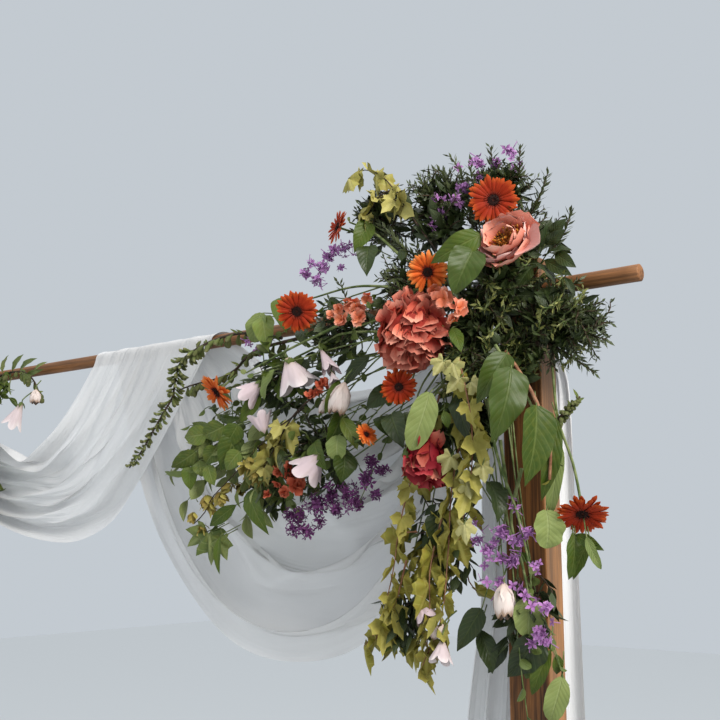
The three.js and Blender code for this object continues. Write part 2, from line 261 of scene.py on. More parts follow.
class Nodes:
    """Adds nodes to a tree. A value that is a socket is linked, any other is set."""

    def __init__(self, tree):
        self.tree = tree

    def link(self, value, socket):
        if isinstance(value, bpy.types.NodeSocket):
            self.tree.links.new(value, socket)
        else:
            socket.default_value = (*value, 1.0) if socket.type == "RGBA" else value

    def add(self, kind, values=None, **settings):
        made = self.tree.nodes.new(kind)
        for key, value in settings.items():
            setattr(made, key, value)
        for key, value in (values or {}).items():
            self.link(value, made.inputs[key])
        return made

    def grouped(self, name, values):
        """The outputs of the named shader group."""
        return self.add("ShaderNodeGroup", values, node_tree=group_named(name, "ShaderNodeTree")).outputs

    def one(self, kind, values=None, **settings):
        """The first output of a new node."""
        return self.add(kind, values, **settings).outputs[0]

    def sum(self, operation, a, b=0.0, clamp=False):
        return self.one("ShaderNodeMath", {0: a, 1: b}, operation=operation, use_clamp=clamp)

    def times(self, a, b):
        return self.sum("MULTIPLY", a, b)

    def plus(self, a, b):
        return self.sum("ADD", a, b)

    def minus(self, a, b):
        return self.sum("SUBTRACT", a, b)

    def vector(self, operation, a, b=(0, 0, 0)):
        return self.one("ShaderNodeVectorMath", {0: a, 1: b}, operation=operation)

    def split(self, vector):
        return self.add("ShaderNodeSeparateXYZ", {0: vector}).outputs

    def place(self):
        return self.add("ShaderNodeTexCoord").outputs["Object"]

    def mix(self, share, a, b):
        return self.add("ShaderNodeMix", {0: share, 6: a, 7: b}, data_type="RGBA").outputs[2]

    def blend(self, share, a, b):
        return self.one("ShaderNodeMix", {0: share, 2: a, 3: b}, data_type="FLOAT")

    def band(self, value, low, high, a=0.0, b=1.0):
        """Maps value from low..high to a..b, smoothly."""
        values = {0: value, 1: low, 2: high, 3: a, 4: b}
        return self.one("ShaderNodeMapRange", values, interpolation_type="SMOOTHSTEP")

    def noise(self, vector, scale, detail, rough=0.5):
        return self.one("ShaderNodeTexNoise", {"Vector": vector, "Scale": scale, "Detail": detail,
            "Roughness": rough})

    def random(self, low, high, seed, number):
        """A random float for each element; number tells one use of the seed from another."""
        mixed = self.plus(seed, float(number))
        return self.add("FunctionNodeRandomValue", {2: low, 3: high, 8: mixed},
            data_type="FLOAT").outputs[1]

    def turn(self, angles):
        return self.one("FunctionNodeEulerToRotation", {0: self.one("ShaderNodeCombineXYZ", angles)})

    def turned_by(self, rotation, angles):
        """The rotation turned by the angles in its own frame."""
        return self.one("FunctionNodeRotateRotation", {0: rotation, 1: self.turn(angles)},
            rotation_space="LOCAL")

    def grown(self, points, thing, rotation, size, seed, **chosen):
        """The object on each point, with a random tint."""
        shape = self.add("GeometryNodeObjectInfo", {"Object": thing}).outputs["Geometry"]
        made = self.one("GeometryNodeInstanceOnPoints", {"Points": points, "Instance": shape,
            "Rotation": rotation, "Scale": size, **chosen})
        return self.stored(made, "tint", self.random(0.0, 1.0, seed, 5), "INSTANCE")

    def stored(self, geometry, name, value, domain):
        return self.one("GeometryNodeStoreNamedAttribute", {"Geometry": geometry, "Name": name,
            "Value": value}, data_type="FLOAT", domain=domain)

    def named(self, name):
        return self.one("GeometryNodeInputNamedAttribute", {"Name": name}, data_type="FLOAT")

    def above(self, value, least):
        return self.one("FunctionNodeCompare", {0: value, 1: least}, data_type="FLOAT",
            operation="GREATER_THAN")

    def joined(self, *parts):
        both = self.add("GeometryNodeJoinGeometry")
        for part in parts:
            self.link(part, both.inputs[0])
        return both.outputs[0]


def group_named(name, kind="GeometryNodeTree"):
    """The node group, built the first time it is asked for.

    Its row in GROUPS names the sockets that it takes and gives, each with its kind or, for a number, its
    default.
    """
    if name in bpy.data.node_groups:
        return bpy.data.node_groups[name]
    build, takes, gives = GROUPS[name]
    tree = bpy.data.node_groups.new(name, kind)
    for way, sockets in (("INPUT", takes), ("OUTPUT", gives)):
        for socket, value in sockets.items():
            made = value if isinstance(value, str) else "Int" if isinstance(value, int) else "Float"
            new = tree.interface.new_socket(socket, in_out=way, socket_type=f"NodeSocket{made}")
            if not isinstance(value, str):
                new.default_value = value
    nodes = Nodes(tree)
    given, out = nodes.add("NodeGroupInput").outputs, nodes.add("NodeGroupOutput").inputs
    for key, value in build(nodes, given).items():
        nodes.link(value, out[key])
    return tree


def scaled(colour, share):
    return tuple(min(1.0, share * c) for c in colour)


def surface(name, **fixed):
    """A material with a Principled BSDF; fixed values go on the shader's own sockets."""
    material = bpy.data.materials.new(name)
    material.use_nodes = True
    nodes = Nodes(material.node_tree)
    shader = material.node_tree.nodes["Principled BSDF"]
    for key, value in fixed.items():
        shader.inputs[key.replace("_", " ")].default_value = value
    return material, nodes, shader


def dress(material, nodes, shader, height, strength, distance, **looks):
    """Links the looks and the bump to the shader."""
    bump = nodes.one("ShaderNodeBump", {"Height": height, "Strength": strength, "Distance": distance})
    for key, value in {**looks, "Normal": bump}.items():
        nodes.link(value, shader.inputs[key.replace("_", " ")])
    return material


# Shader groups that the materials share
def build_wood_grain(nodes, given):
    """Grain that runs along the vector's first axis, with pores, dark streaks and knots."""
    along = given["Along"]
    streaks = [nodes.vector("MULTIPLY", along, way) for way in ((1.3, 42, 42), (3.2, 150, 150),
        (9, 420, 420), (2.6, 9, 9))]
    broad = nodes.noise(nodes.vector("ADD", streaks[0], nodes.noise(along, 5.0, 2.0)), 0.9, 3.0, 0.6)
    lines, fine = nodes.noise(streaks[1], 1.0, 4.0, 0.7), nodes.noise(streaks[2], 1.0, 3.0, 0.65)
    knot = nodes.add("ShaderNodeTexVoronoi", {"Vector": streaks[3], "Scale": 1.0}).outputs["Distance"]
    shade = nodes.band(nodes.plus(nodes.times(broad, 0.45), nodes.times(lines, 0.55)), 0.38, 0.62)
    base = nodes.mix(shade, given["Dark"], given["Light"])
    streak = nodes.times(nodes.band(fine, 0.5, 0.72), given["Streaks"])
    streaked = nodes.mix(streak, base, given["Streak colour"])
    knotted = nodes.mix(nodes.times(nodes.band(knot, 0.07, 0.2, 1.0, 0.0), 0.55), streaked,
        given["Streak colour"])
    height = nodes.plus(nodes.times(fine, 0.7), nodes.times(broad, 0.3))
    return {"Color": knotted, "Height": height, "Roughness": nodes.band(fine, 0.2, 0.8, 0.46, 0.68)}


def build_leaf_skin(nodes, given):
    """Veins from the leaf's own UV map, mottling and a tint for each leaf."""
    uv = nodes.one("ShaderNodeUVMap", uv_map="UVMap")
    split = nodes.split(uv)
    across = nodes.sum("ABSOLUTE", nodes.times(nodes.minus(split[0], 0.5), 2.0))
    rib = nodes.band(across, 0.03, 0.1, 1.0, 0.0)
    slant = nodes.minus(nodes.times(split[1], given["Veins"]), nodes.times(across, 2.2))
    saw = nodes.sum("PINGPONG", slant, 0.5)
    vein = nodes.band(saw, 0.02, 0.11, 1.0, 0.0)
    lines = nodes.sum("MAXIMUM", rib, nodes.times(vein, 0.6))
    place = nodes.place()
    mottle = nodes.noise(place, 90.0, 3.0)
    tint = nodes.add("ShaderNodeAttribute", attribute_name="tint").outputs["Fac"]
    varied = nodes.mix(tint, given["Deep"], given["Light"])
    mottled = nodes.mix(nodes.band(mottle, 0.35, 0.75, 0.0, 0.45), varied, given["Aged"])
    veined = nodes.mix(nodes.times(lines, 0.4), mottled, given["Vein colour"])
    height = nodes.minus(nodes.times(saw, 0.6), nodes.times(rib, 0.8))
    return {"Color": veined, "Height": height}


def build_petal_skin(nodes, given):
    """Fine streaks along the petal, and a colour that runs from base to rim."""
    uv = nodes.one("ShaderNodeUVMap", uv_map="UVMap")
    split = nodes.split(uv)
    tint = nodes.add("ShaderNodeAttribute", attribute_name="tint").outputs["Fac"]
    lines = nodes.vector("MULTIPLY", uv, (26.0, 1.6, 1.0))
    moved = nodes.vector("ADD", lines, tint)
    streak = nodes.noise(moved, 1.0, 3.0, 0.6)
    run = nodes.plus(split[1], nodes.times(nodes.minus(streak, 0.5), 0.5))
    inner = nodes.mix(nodes.band(run, 0.0, 0.42), given["Base"], given["Middle"])
    outer = nodes.mix(nodes.band(run, given["Rim start"], 1.0), inner, given["Rim"])
    toned = nodes.mix(nodes.times(tint, given["Variety"]), outer, given["Other"])
    lined = nodes.mix(nodes.band(streak, 0.5, 0.7, 0.0, 0.22), toned, given["Base"])
    return {"Color": lined, "Height": streak}


def build_edge_wear(nodes, given):
    """One near the long edges of a squared timber, from its centre and half sizes."""
    place = nodes.place()
    off = nodes.vector("SUBTRACT", place, given["Centre"])
    size = nodes.vector("ABSOLUTE", off)
    inset = nodes.one("ShaderNodeVectorMath", {0: given["Half"], 1: size}, operation="SUBTRACT")
    a, b, c = nodes.split(inset)
    near = [nodes.band(v, 0.0, given["Reach"], 1.0, 0.0) for v in (a, b, c)]
    pairs = [nodes.times(near[i], near[j]) for i, j in ((0, 1), (0, 2), (1, 2))]
    most = nodes.sum("MAXIMUM", nodes.sum("MAXIMUM", pairs[0], pairs[1]), pairs[2])
    patchy = nodes.band(nodes.noise(place, 30.0, 3.0), 0.35, 0.6)
    return {"Mask": nodes.times(most, patchy)}


def timber_material(name, dark, light, streak, grain_axis, centre, half, wear, painted_lit_face=0):
    """Stained timber. grain_axis is x, y or z; the last argument is the x direction of a face painted paler
    as painted key light, or 0.
    """
    material, nodes, shader = surface(name, Coat_Weight=0.05, Coat_Roughness=0.45, Specular_IOR_Level=0.25)
    turns = {"x": (0, 0, 0), "y": (0, 0, math.pi / 2), "z": (0, math.pi / 2, 0)}
    moved = nodes.one("ShaderNodeMapping", {"Vector": nodes.place(), "Location": tuple(-c for c in centre)})
    along = nodes.one("ShaderNodeMapping", {"Vector": moved, "Rotation": turns[grain_axis]})
    grain = nodes.grouped("wood_grain", {"Along": along, "Dark": dark, "Light": light,
        "Streak colour": streak})
    share = nodes.times(nodes.grouped("edge_wear", {"Centre": centre, "Half": half})[0], wear)
    colour = nodes.mix(share, grain["Color"], tuple(min(1.0, c * 1.8 + 0.008) for c in light))
    # Painted light: the face that looks this way is painted paler, a painted highlight for the key light on
    # it where the crown shades it.
    if painted_lit_face:
        facing = nodes.split(nodes.add("ShaderNodeTexCoord").outputs["Normal"])[0]
        pale = nodes.band(nodes.times(facing, painted_lit_face), 0.5, 0.95, 0.0, 0.6)
        values = {0: grain["Color"], 1: (1.3, 1.4, 1.5), 2: (0.2, 0.115, 0.062)}
        painted_lit_colour = nodes.one("ShaderNodeVectorMath", values, operation="MULTIPLY_ADD")
        colour = nodes.mix(pale, colour, painted_lit_colour)
    return dress(material, nodes, shader, grain["Height"], 0.5, 0.0012, Base_Color=colour,
        Roughness=grain["Roughness"])


def leaf_material(name, deep, light, aged, vein, veins=7.0, gloss=0.5, shine=0.2):
    material, nodes, shader = surface(name, Roughness=gloss, Specular_IOR_Level=shine)
    skin = nodes.grouped("leaf_skin", {"Deep": deep, "Light": light, "Aged": aged, "Vein colour": vein,
        "Veins": veins})
    back = nodes.add("ShaderNodeNewGeometry").outputs["Backfacing"]
    paler = tuple(0.5 * (a + b) + 0.02 for a, b in zip(light, vein))
    under = nodes.mix(nodes.times(back, 0.45), skin["Color"], paler)
    return dress(material, nodes, shader, skin["Height"], 0.7, 0.0018, Base_Color=under)


def petal_material(name, base, middle, rim, other, rim_start=0.7, variety=0.5, gloss=0.6, bump=0.3):
    material, nodes, shader = surface(name, Roughness=gloss, Specular_IOR_Level=0.12)
    skin = nodes.grouped("petal_skin", {"Base": base, "Middle": middle, "Rim": rim, "Other": other,
        "Rim start": rim_start, "Variety": variety})
    return dress(material, nodes, shader, skin["Height"], bump, 0.0008, Base_Color=skin["Color"])


def stem_material(name, dark, light):
    material, nodes, shader = surface(name, Roughness=0.6, Specular_IOR_Level=0.2)
    place = nodes.place()
    shade = nodes.band(nodes.noise(place, 60.0, 3.0), 0.35, 0.65)
    colour = nodes.mix(shade, dark, light)
    return dress(material, nodes, shader, nodes.noise(place, 400.0, 2.0), 0.3, 0.0005, Base_Color=colour)


FINISHES = {}


def finish_named(name):
    """The foliage and flower finishes, made on first use."""
    if name not in FINISHES:
        kind, *values = PALETTE[name]
        values = [tuple(v / 1000 for v in value) if isinstance(value, tuple) else value for value in values]
        FINISHES[name] = {"leaf": leaf_material, "petal": petal_material, "stem": stem_material}[kind](name,
            *values)
    return FINISHES[name]


# Kind, then linear colours in thousandths and the other values of the material
PALETTE = {
    "leaf_deep": ("leaf", (10, 20, 5), (34, 54, 12), (36, 42, 8), (75, 100, 30), 8.0, 0.4, 0.3),
    "leaf_mid": ("leaf", (18, 36, 5), (52, 84, 11), (56, 66, 9), (105, 135, 36), 8.0, 0.42, 0.25),
    "leaf_fresh": ("leaf", (30, 56, 6), (80, 122, 14), (94, 106, 12), (150, 185, 50), 8.0, 0.45, 0.2),
    "leaf_lit": ("leaf", (55, 88, 12), (150, 200, 34), (165, 165, 26), (250, 290, 100), 7.0, 0.45, 0.25),
    "leaf_soft": ("leaf", (62, 98, 20), (200, 240, 68), (180, 185, 40), (300, 330, 130), 6.0, 0.5, 0.25),
    "leaf_pale": ("leaf", (120, 165, 45), (225, 265, 85), (180, 205, 55), (290, 330, 140), 8.0, 0.6),
    "leaf_yellow": ("leaf", (75, 84, 8), (370, 325, 52), (230, 140, 24), (450, 400, 110), 5.0, 0.55),
    "leaf_cream": ("leaf", (230, 225, 72), (440, 405, 165), (280, 235, 70), (510, 475, 230), 4.0, 0.55),
    "leaf_gold": ("leaf", (170, 165, 22), (430, 385, 105), (300, 200, 40), (500, 450, 160), 4.0, 0.55),
    "needle": ("leaf", (10, 20, 4), (85, 112, 28), (46, 52, 10), (150, 170, 55), 1.0, 0.36, 0.55),
    "needle_gold": ("leaf", (60, 78, 12), (270, 275, 62), (140, 130, 22), (300, 300, 100), 1.0, 0.45, 0.4),
    "stem_green": ("stem", (70, 105, 26), (190, 220, 85)),
    "stem_dark": ("stem", (25, 18, 12), (75, 45, 28)),
    "stem_red": ("stem", (170, 70, 35), (330, 170, 90)),
    "gerbera_ray": ("petal", (85, 5, 2), (330, 28, 5), (560, 98, 14), (210, 13, 4), 0.62, 0.7),
    "gerbera_light": ("petal", (330, 22, 5), (660, 115, 16), (830, 300, 70), (560, 80, 12), 0.58, 0.5),
    "gerbera_eye": ("petal", (10, 5, 4), (22, 8, 6), (90, 18, 8), (14, 6, 5), 0.75, 0.5),
    "peony_coral": ("petal", (150, 8, 6), (370, 46, 28), (680, 250, 170), (240, 15, 13), 0.5, 0.75),
    "peony_salmon": ("petal", (340, 36, 18), (580, 120, 68), (820, 370, 260), (460, 62, 38), 0.52, 0.6),
    "peony_light": ("petal", (400, 52, 26), (700, 195, 115), (900, 500, 380), (560, 110, 65), 0.52, 0.6),
    "peony_blush": ("petal", (560, 160, 125), (740, 380, 335), (840, 590, 530), (640, 280, 235), 0.6, 0.6),
    "peony_red": ("petal", (110, 4, 8), (250, 12, 20), (480, 70, 75), (170, 6, 12), 0.68, 0.8),
    "stamen": ("petal", (260, 75, 10), (600, 230, 32), (760, 400, 80), (150, 40, 10), 0.7, 0.9),
    "mallow_white": ("petal", (420, 330, 230), (600, 500, 500), (700, 630, 620), (540, 400, 440), 0.7, 0.8),
    "bud_pink": ("petal", (560, 440, 370), (680, 590, 540), (240, 140, 75), (600, 440, 400), 0.74, 0.4),
    "lilac_bright": ("petal", (230, 75, 230), (430, 215, 450), (600, 390, 610), (310, 115, 330), 0.55, 0.8),
    "lilac_dark": ("petal", (50, 10, 50), (200, 60, 180), (430, 215, 410), (80, 18, 75), 0.58, 0.9),
    "stock_peach": ("petal", (680, 200, 30), (720, 230, 110), (800, 400, 290), (560, 130, 80), 0.62, 0.7),
    "rust": ("petal", (280, 40, 18), (500, 105, 50), (600, 190, 110), (400, 70, 40), 0.7, 0.5),
    "pod": ("petal", (36, 56, 14), (135, 165, 50), (400, 370, 190), (75, 78, 26), 0.52, 0.9),
    "hop": ("petal", (150, 165, 30), (420, 360, 90), (560, 470, 170), (200, 130, 30), 0.7, 0.9),
    "gerbera_dark_ray": ("petal", (60, 10, 5), (220, 25, 10), (400, 50, 12), (150, 15, 8), 0.75, 0.5),
}


# Geometry Nodes trees
def build_leafy_stem(nodes, given):
    """Turns edges into round stems that carry leaves."""
    line = nodes.one("GeometryNodeMeshToCurve", {0: given["Geometry"]})
    share = nodes.add("GeometryNodeSplineParameter").outputs["Factor"]
    marked = nodes.stored(line, "along", share, "POINT")
    radius = nodes.blend(share, given["Stem radius"], given["Tip radius"])
    ring = nodes.one("GeometryNodeCurvePrimitiveCircle", {"Resolution": 5, "Radius": 1.0})
    tube = nodes.one("GeometryNodeCurveToMesh", {"Curve": marked, "Profile Curve": ring, "Scale": radius,
        "Fill Caps": True})
    bark = nodes.one("GeometryNodeSetMaterial", {"Geometry": tube, "Material": given["Stem finish"]})
    spots = nodes.add("GeometryNodeCurveToPoints", {"Curve": marked, "Length": given["Spacing"]},
        mode="LENGTH")
    along = nodes.named("along")
    seed, loose = given["Seed"], given["Loose"]
    lean = nodes.minus(math.pi / 2, given["Lean"])
    lean = nodes.plus(lean, nodes.times(nodes.random(-1.0, 1.0, seed, 1), loose))
    turn = nodes.times(nodes.one("GeometryNodeInputIndex"), given["Turn"])
    turn = nodes.plus(turn, nodes.times(nodes.random(-1.6, 1.6, seed, 2), loose))
    roll = nodes.times(nodes.random(-1.5, 1.5, seed, 3), loose)
    leaning = nodes.turned_by(spots.outputs["Rotation"], {0: lean, 1: roll, 2: turn})
    hung = nodes.one("FunctionNodeAlignRotationToVector", {"Rotation": leaning, "Factor": given["Droop"],
        "Vector": (0.0, 0.0, -1.0)}, axis="Y")
    size = nodes.blend(along, given["Leaf size"], given["Tip size"])
    size = nodes.times(size, nodes.random(0.7, 1.15, seed, 4))
    leaves = nodes.grown(spots.outputs["Points"], given["Leaf"], hung, size, seed,
        Selection=nodes.above(along, given["Bare"]))
    leaves = nodes.stored(leaves, "leaf", 1.0, "INSTANCE")
    real = nodes.one("GeometryNodeRealizeInstances", {0: nodes.joined(bark, leaves)})
    smooth = nodes.one("GeometryNodeSetShadeSmooth", {"Geometry": real})
    chosen = nodes.above(nodes.named("leaf"), 0.5)
    return {"Geometry": nodes.one("GeometryNodeSetMaterial", {"Geometry": smooth, "Selection": chosen,
        "Material": given["Leaf finish"]})}


def build_petal_ring(nodes, given):
    """Adds a ring of petals round the Z axis to what it is given."""
    seed, scatter = given["Seed"], given["Scatter"]
    part = nodes.sum("DIVIDE", nodes.one("GeometryNodeInputIndex"), given["Count"])
    angle = nodes.plus(nodes.times(part, TAU), nodes.times(nodes.random(-0.6, 0.6, seed, 1),
        scatter))
    x, y = (nodes.times(nodes.sum(way, angle), given["Ring radius"]) for way in ("COSINE", "SINE"))
    place = nodes.one("ShaderNodeCombineXYZ", {0: x, 1: y, 2: given["Height"]})
    spots = nodes.one("GeometryNodePoints", {"Count": given["Count"], "Position": place})
    tilt = nodes.plus(given["Tilt"], nodes.times(nodes.random(-1.0, 1.0, seed, 2), scatter))
    roll = nodes.times(nodes.random(-1.2, 1.2, seed, 3), scatter)
    turn = nodes.turn({0: tilt, 1: roll, 2: nodes.minus(angle, math.pi / 2)})
    size = nodes.times(given["Size"], nodes.random(0.88, 1.06, seed, 4))
    petals = nodes.grown(spots, given["Petal"], turn, size, seed)
    real = nodes.one("GeometryNodeRealizeInstances", {0: petals})
    smooth = nodes.one("GeometryNodeSetShadeSmooth", {"Geometry": real})
    done = nodes.one("GeometryNodeSetMaterial", {"Geometry": smooth, "Material": given["Finish"]})
    return {"Geometry": nodes.joined(done, given["Geometry"])}


def build_floret_cluster(nodes, given):
    """Sets small flowers over the skin of the lumps it is given."""
    seed, loose = given["Seed"], given["Loose"]
    spots = nodes.add("GeometryNodeDistributePointsOnFaces",
        {"Mesh": given["Geometry"], "Density": given["Density"], "Seed": seed})
    deep = nodes.times(nodes.random(-1.0, 0.3, seed, 6), given["Depth"])
    shift = nodes.one("ShaderNodeVectorMath", {0: spots.outputs["Normal"], 3: deep}, operation="SCALE")
    moved = nodes.one("GeometryNodeSetPosition", {"Geometry": spots.outputs["Points"], "Offset": shift})
    lean, roll = (nodes.times(nodes.random(-1.0, 1.0, seed, number), loose) for number in (1, 2))
    turn = nodes.turned_by(spots.outputs["Rotation"], {0: lean, 1: roll,
        2: nodes.random(0.0, 6.28, seed, 3)})
    size = nodes.times(given["Size"], nodes.random(0.65, 1.15, seed, 4))
    grown = nodes.grown(moved, given["Floret"], turn, size, seed)
    return {"Geometry": nodes.one("GeometryNodeRealizeInstances", {0: grown})}


SKIN = {"Color": "Color", "Height": 0.0}
MADE = {"Geometry": "Geometry"}
GROUPS = {
    "wood_grain": (build_wood_grain, {"Along": "Vector", "Dark": "Color", "Light": "Color",
        "Streak colour": "Color", "Streaks": 0.6}, {**SKIN, "Roughness": 0.0}),
    "edge_wear": (build_edge_wear, {"Centre": "Vector", "Half": "Vector", "Reach": 0.006}, {"Mask": 0.0}),
    "leaf_skin": (build_leaf_skin, {"Deep": "Color", "Light": "Color", "Aged": "Color",
        "Vein colour": "Color", "Veins": 7.0}, SKIN),
    "petal_skin": (build_petal_skin, {"Base": "Color", "Middle": "Color", "Rim": "Color",
        "Other": "Color", "Rim start": 0.7, "Variety": 0.5}, SKIN),
    "leafy_stem": (build_leafy_stem, {**MADE, "Leaf": "Object", "Spacing": 0.02, "Leaf size": 1.0,
        "Tip size": 0.5, "Lean": 0.9, "Turn": 2.4, "Loose": 0.3, "Droop": 0.0, "Bare": 0.1,
        "Stem radius": 0.002, "Tip radius": 0.001, "Seed": 1, "Stem finish": "Material",
        "Leaf finish": "Material"}, MADE),
    "petal_ring": (build_petal_ring, {**MADE, "Petal": "Object", "Count": 20, "Ring radius": 0.01,
        "Height": 0.0, "Tilt": 0.2, "Size": 1.0, "Scatter": 0.1, "Seed": 1, "Finish": "Material"}, MADE),
    "floret_cluster": (build_floret_cluster, {**MADE, "Floret": "Object", "Density": 3000.0, "Size": 1.0,
        "Loose": 0.5, "Depth": 0.01, "Seed": 1}, MADE),
}


def grow(obj, name, **values):
    """Puts the named tree on the object and sets its inputs by name."""
    tree = group_named(name)
    modifier = obj.modifiers.new(name, "NODES")
    modifier.node_group = tree
    for item in tree.interface.items_tree:
        if item.item_type == "SOCKET" and item.in_out == "INPUT" and item.name in values:
            value = values.pop(item.name)
            modifier[item.identifier] = float(value) if item.socket_type == "NodeSocketFloat" else value
    if values:
        raise ValueError(f"{name} has no input {sorted(values)}")


def settled(obj):
    """The object's modifiers made into its mesh, in a new object of the same name."""
    bpy.context.view_layer.update()
    graph = bpy.context.evaluated_depsgraph_get()
    mesh = bpy.data.meshes.new_from_object(obj.evaluated_get(graph), preserve_all_data_layers=True,
        depsgraph=graph)
    name = obj.name
    bpy.data.objects.remove(obj)
    mesh.name = name
    return linked(name, mesh)


def merged(name, parts):
    """Joins finished objects into one."""
    if not parts:
        raise ValueError(f"{name} has no parts")
    with bpy.context.temp_override(active_object=parts[0], selected_editable_objects=parts,
            selected_objects=parts, object=parts[0]):
        if len(parts) > 1:
            bpy.ops.object.join()
    parts[0].name = name
    parts[0].data.name = name
    return parts[0]


TEMPLATES = {}


def template(name, **shape):
    """One leaf that the trees repeat."""
    if name not in TEMPLATES:
        sheaf = Sheaf()
        sheaf.blade(np.zeros(3), np.eye(3), **shape)
        TEMPLATES[name] = sheaf.make(f"template_{name}", [])
    return TEMPLATES[name]


def seed_of(look, side, step=0):
    """The seed of one part of a spray."""
    return look.seed + step + (0 if side > 0 else LEFT_SEED)


def strands(name, paths):
    """Stems as an object of edges, in metres."""
    points, edges = [], []
    for path in paths:
        first = len(points)
        points.extend(path.tolist())
        edges.extend((first + k, first + k + 1) for k in range(len(path) - 1))
    mesh = bpy.data.meshes.new(name)
    mesh.from_pydata(points, edges, [])
    return linked(name, mesh)


# Growth: leaf, finishes of stem and leaf, spacing, leaf size at foot and tip, lean, turn, looseness, droop,
# bare share, stem radius at foot and tip, and what is added to the seed. Spacing and radii are millimetres.
GROWTH = {
    "crown_narrow": ("needle", "stem_dark", "needle", 4, 1.0, 0.7, 0.85, 2.4, 0.3, 0, 0.05, 2, 1, 0),
    "crown_spires": ("needle", "stem_dark", "needle", 2.8, 1.35, 0.8, 0.75, 2.4, 0.2, 0, 0, 2, 1, 1),
    "crown_front": ("needle", "stem_dark", "needle", 3.6, 0.9, 0.75, 0.8, 2.4, 0.3, 0, 0.1, 2, 1, 2),
    "crown_gold": ("needle", "stem_green", "needle_gold", 3.2, 0.85, 0.7, 0.75, 2.4, 0.25, 0, 0.35, 2, 1, 3),
    "crown_dark": ("filler", "stem_dark", "leaf_deep", 10, 0.9, 0.75, 0.9, 2.4, 0.4, 0, 0, 2, 1, 4),
    "sweep_dark": ("filler", "stem_dark", "leaf_deep", 13, 0.8, 0.7, 0.9, 2.4, 0.45, 0.25, 0, 2, 1, 5),
    "sweep_fresh": ("oval", "stem_green", "leaf_fresh", 22, 0.85, 0.65, 0.9, 2.4, 0.45, 0.3, 0.1, 2, 1, 6),
    "sweep_soft": ("soft", "stem_green", "leaf_soft", 26, 1.05, 0.8, 1.0, 2.4, 0.45, 0.35, 0.1, 2, 1, 7),
    "sweep_narrow": ("needle", "stem_dark", "needle", 4, 1.0, 0.8, 0.7, 2.4, 0.3, 0, 0.1, 2, 1, 8),
    "sweep_stems": ("round", "stem_green", "leaf_fresh", 40, 0.8, 0.7, 0.7, 2.4, 0.4, 0, 0.6, 2.4, 1.2, 9),
    "fall_dark": ("filler", "stem_dark", "leaf_deep", 13, 0.9, 0.75, 0.9, 2.4, 0.45, 0.45, 0, 2, 1, 10),
    "fall_fresh": ("oval", "stem_green", "leaf_fresh", 22, 0.9, 0.7, 0.9, 2.4, 0.45, 0.45, 0.1, 2, 1, 11),
    "fall_yellow": ("lobed", "stem_red", "leaf_yellow", 34, 0.9, 0.7, 1.1, 2.4, 0.5, 0.5, 0.1, 2, 1, 12),
    "fall_stems": ("round", "stem_green", "leaf_fresh", 50, 0.8, 0.7, 0.7, 2.4, 0.4, 0, 0.7, 2.2, 1.1, 13),
    "trail_lobed": ("lobed", "stem_red", "leaf_yellow", 32, 1.0, 0.75, 1.1, 2.6, 0.8, 0.75, 0.02, 2.2, 0.9,
        0),
    "trail_yellow": ("lobed", "stem_dark", "leaf_gold", 27, 1.0, 0.8, 1.2, 2.6, 1.3, 0.55, 0.42, 2.4, 1, 1),
    "trail_oval": ("soft", "stem_green", "leaf_soft", 34, 1.2, 0.95, 1.1, 2.6, 0.5, 0.6, 0.12, 1.8, 0.9, 2),
    "trail_post": ("oval", "stem_green", "leaf_fresh", 30, 0.8, 0.7, 0.9, 2.6, 0.4, 0.5, 0.1, 1.8, 0.9, 3),
    "trail_bare": ("round", "stem_green", "leaf_soft", 60, 0.5, 0.5, 0.9, 2.4, 0.3, 0, 0.92, 3.8, 2, 4),
    "trail_red": ("round", "stem_red", "leaf_yellow", 50, 0.4, 0.5, 0.9, 2.4, 0.3, 0, 0.95, 4.2, 3, 5),
}


def leafy(name, paths, leaves, seed):
    """Stems along the paths, with leaves as the growth table says."""
    leaf, stem, finish, spacing, size, tip, lean, turn, loose, droop, bare, foot, thin, step = GROWTH[name]
    obj = strands(name, paths)
    grow(obj, "leafy_stem", Leaf=leaves[leaf], Spacing=spacing * MM, Lean=lean, Turn=turn, Loose=loose,
        Droop=droop, Bare=bare, Seed=seed + step, **{"Leaf size": size, "Tip size": tip,
        "Stem radius": foot * MM, "Tip radius": thin * MM, "Stem finish": finish_named(stem),
        "Leaf finish": finish_named(finish)})
    return settled(obj)


def arc(start, end, sag, count, sway, rng):
    """A stem between two points that sags or, with a negative sag, arches, and sways a little."""
    start, end = np.asarray(start, float), np.asarray(end, float)
    t = np.linspace(0, 1, count)[:, None]
    path = start + (end - start) * t
    path = path + 4 * t * (1 - t) * np.array([0, 0, -sag])
    side = rng.normal(0, sway, 3)
    return path + 4 * t * (1 - t) * side + np.sin(t * 7 + rng.uniform(0, 6)) * sway * 0.25


def as_mm(points, side=1):
    return np.array(points, float) * np.array([side, 1, 1]) * MM


def ends_of(row, side=1):
    """The two points whose six numbers the row holds."""
    return as_mm(np.reshape(row, (2, 3)), side)


def fit(piece, slot, *nodes):
    """A finished piece: its body, its material slot, which is not used, and the CAD nodes that it stands for.
    """
    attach(piece, "root")
    if nodes:
        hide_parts(*nodes)


# Timber
def rounded_timber(name, node, material):
    """The node's own timber with its long edges rounded."""
    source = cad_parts[node]
    mesh = source.data.copy()
    mesh.transform(source.matrix_world)
    obj = linked(name, mesh)
    mesh.materials.clear()
    mesh.materials.append(material)
    work = bmesh.new()
    work.from_mesh(mesh)
    bmesh.ops.remove_doubles(work, verts=work.verts, dist=1e-5)
    layer = work.edges.layers.float.new("bevel_weight_edge")
    for edge in work.edges:
        if len(edge.link_faces) == 2 and edge.calc_length() > 0.02 and edge.calc_face_angle(0) > 1.2:
            edge[layer] = 1.0
    work.to_mesh(mesh)
    work.free()
    bevel = obj.modifiers.new("Arris", "BEVEL")
    bevel.limit_method = "WEIGHT"
    bevel.width = 0.003
    bevel.segments = 2
    bevel.use_clamp_overlap = False
    return settled(obj)


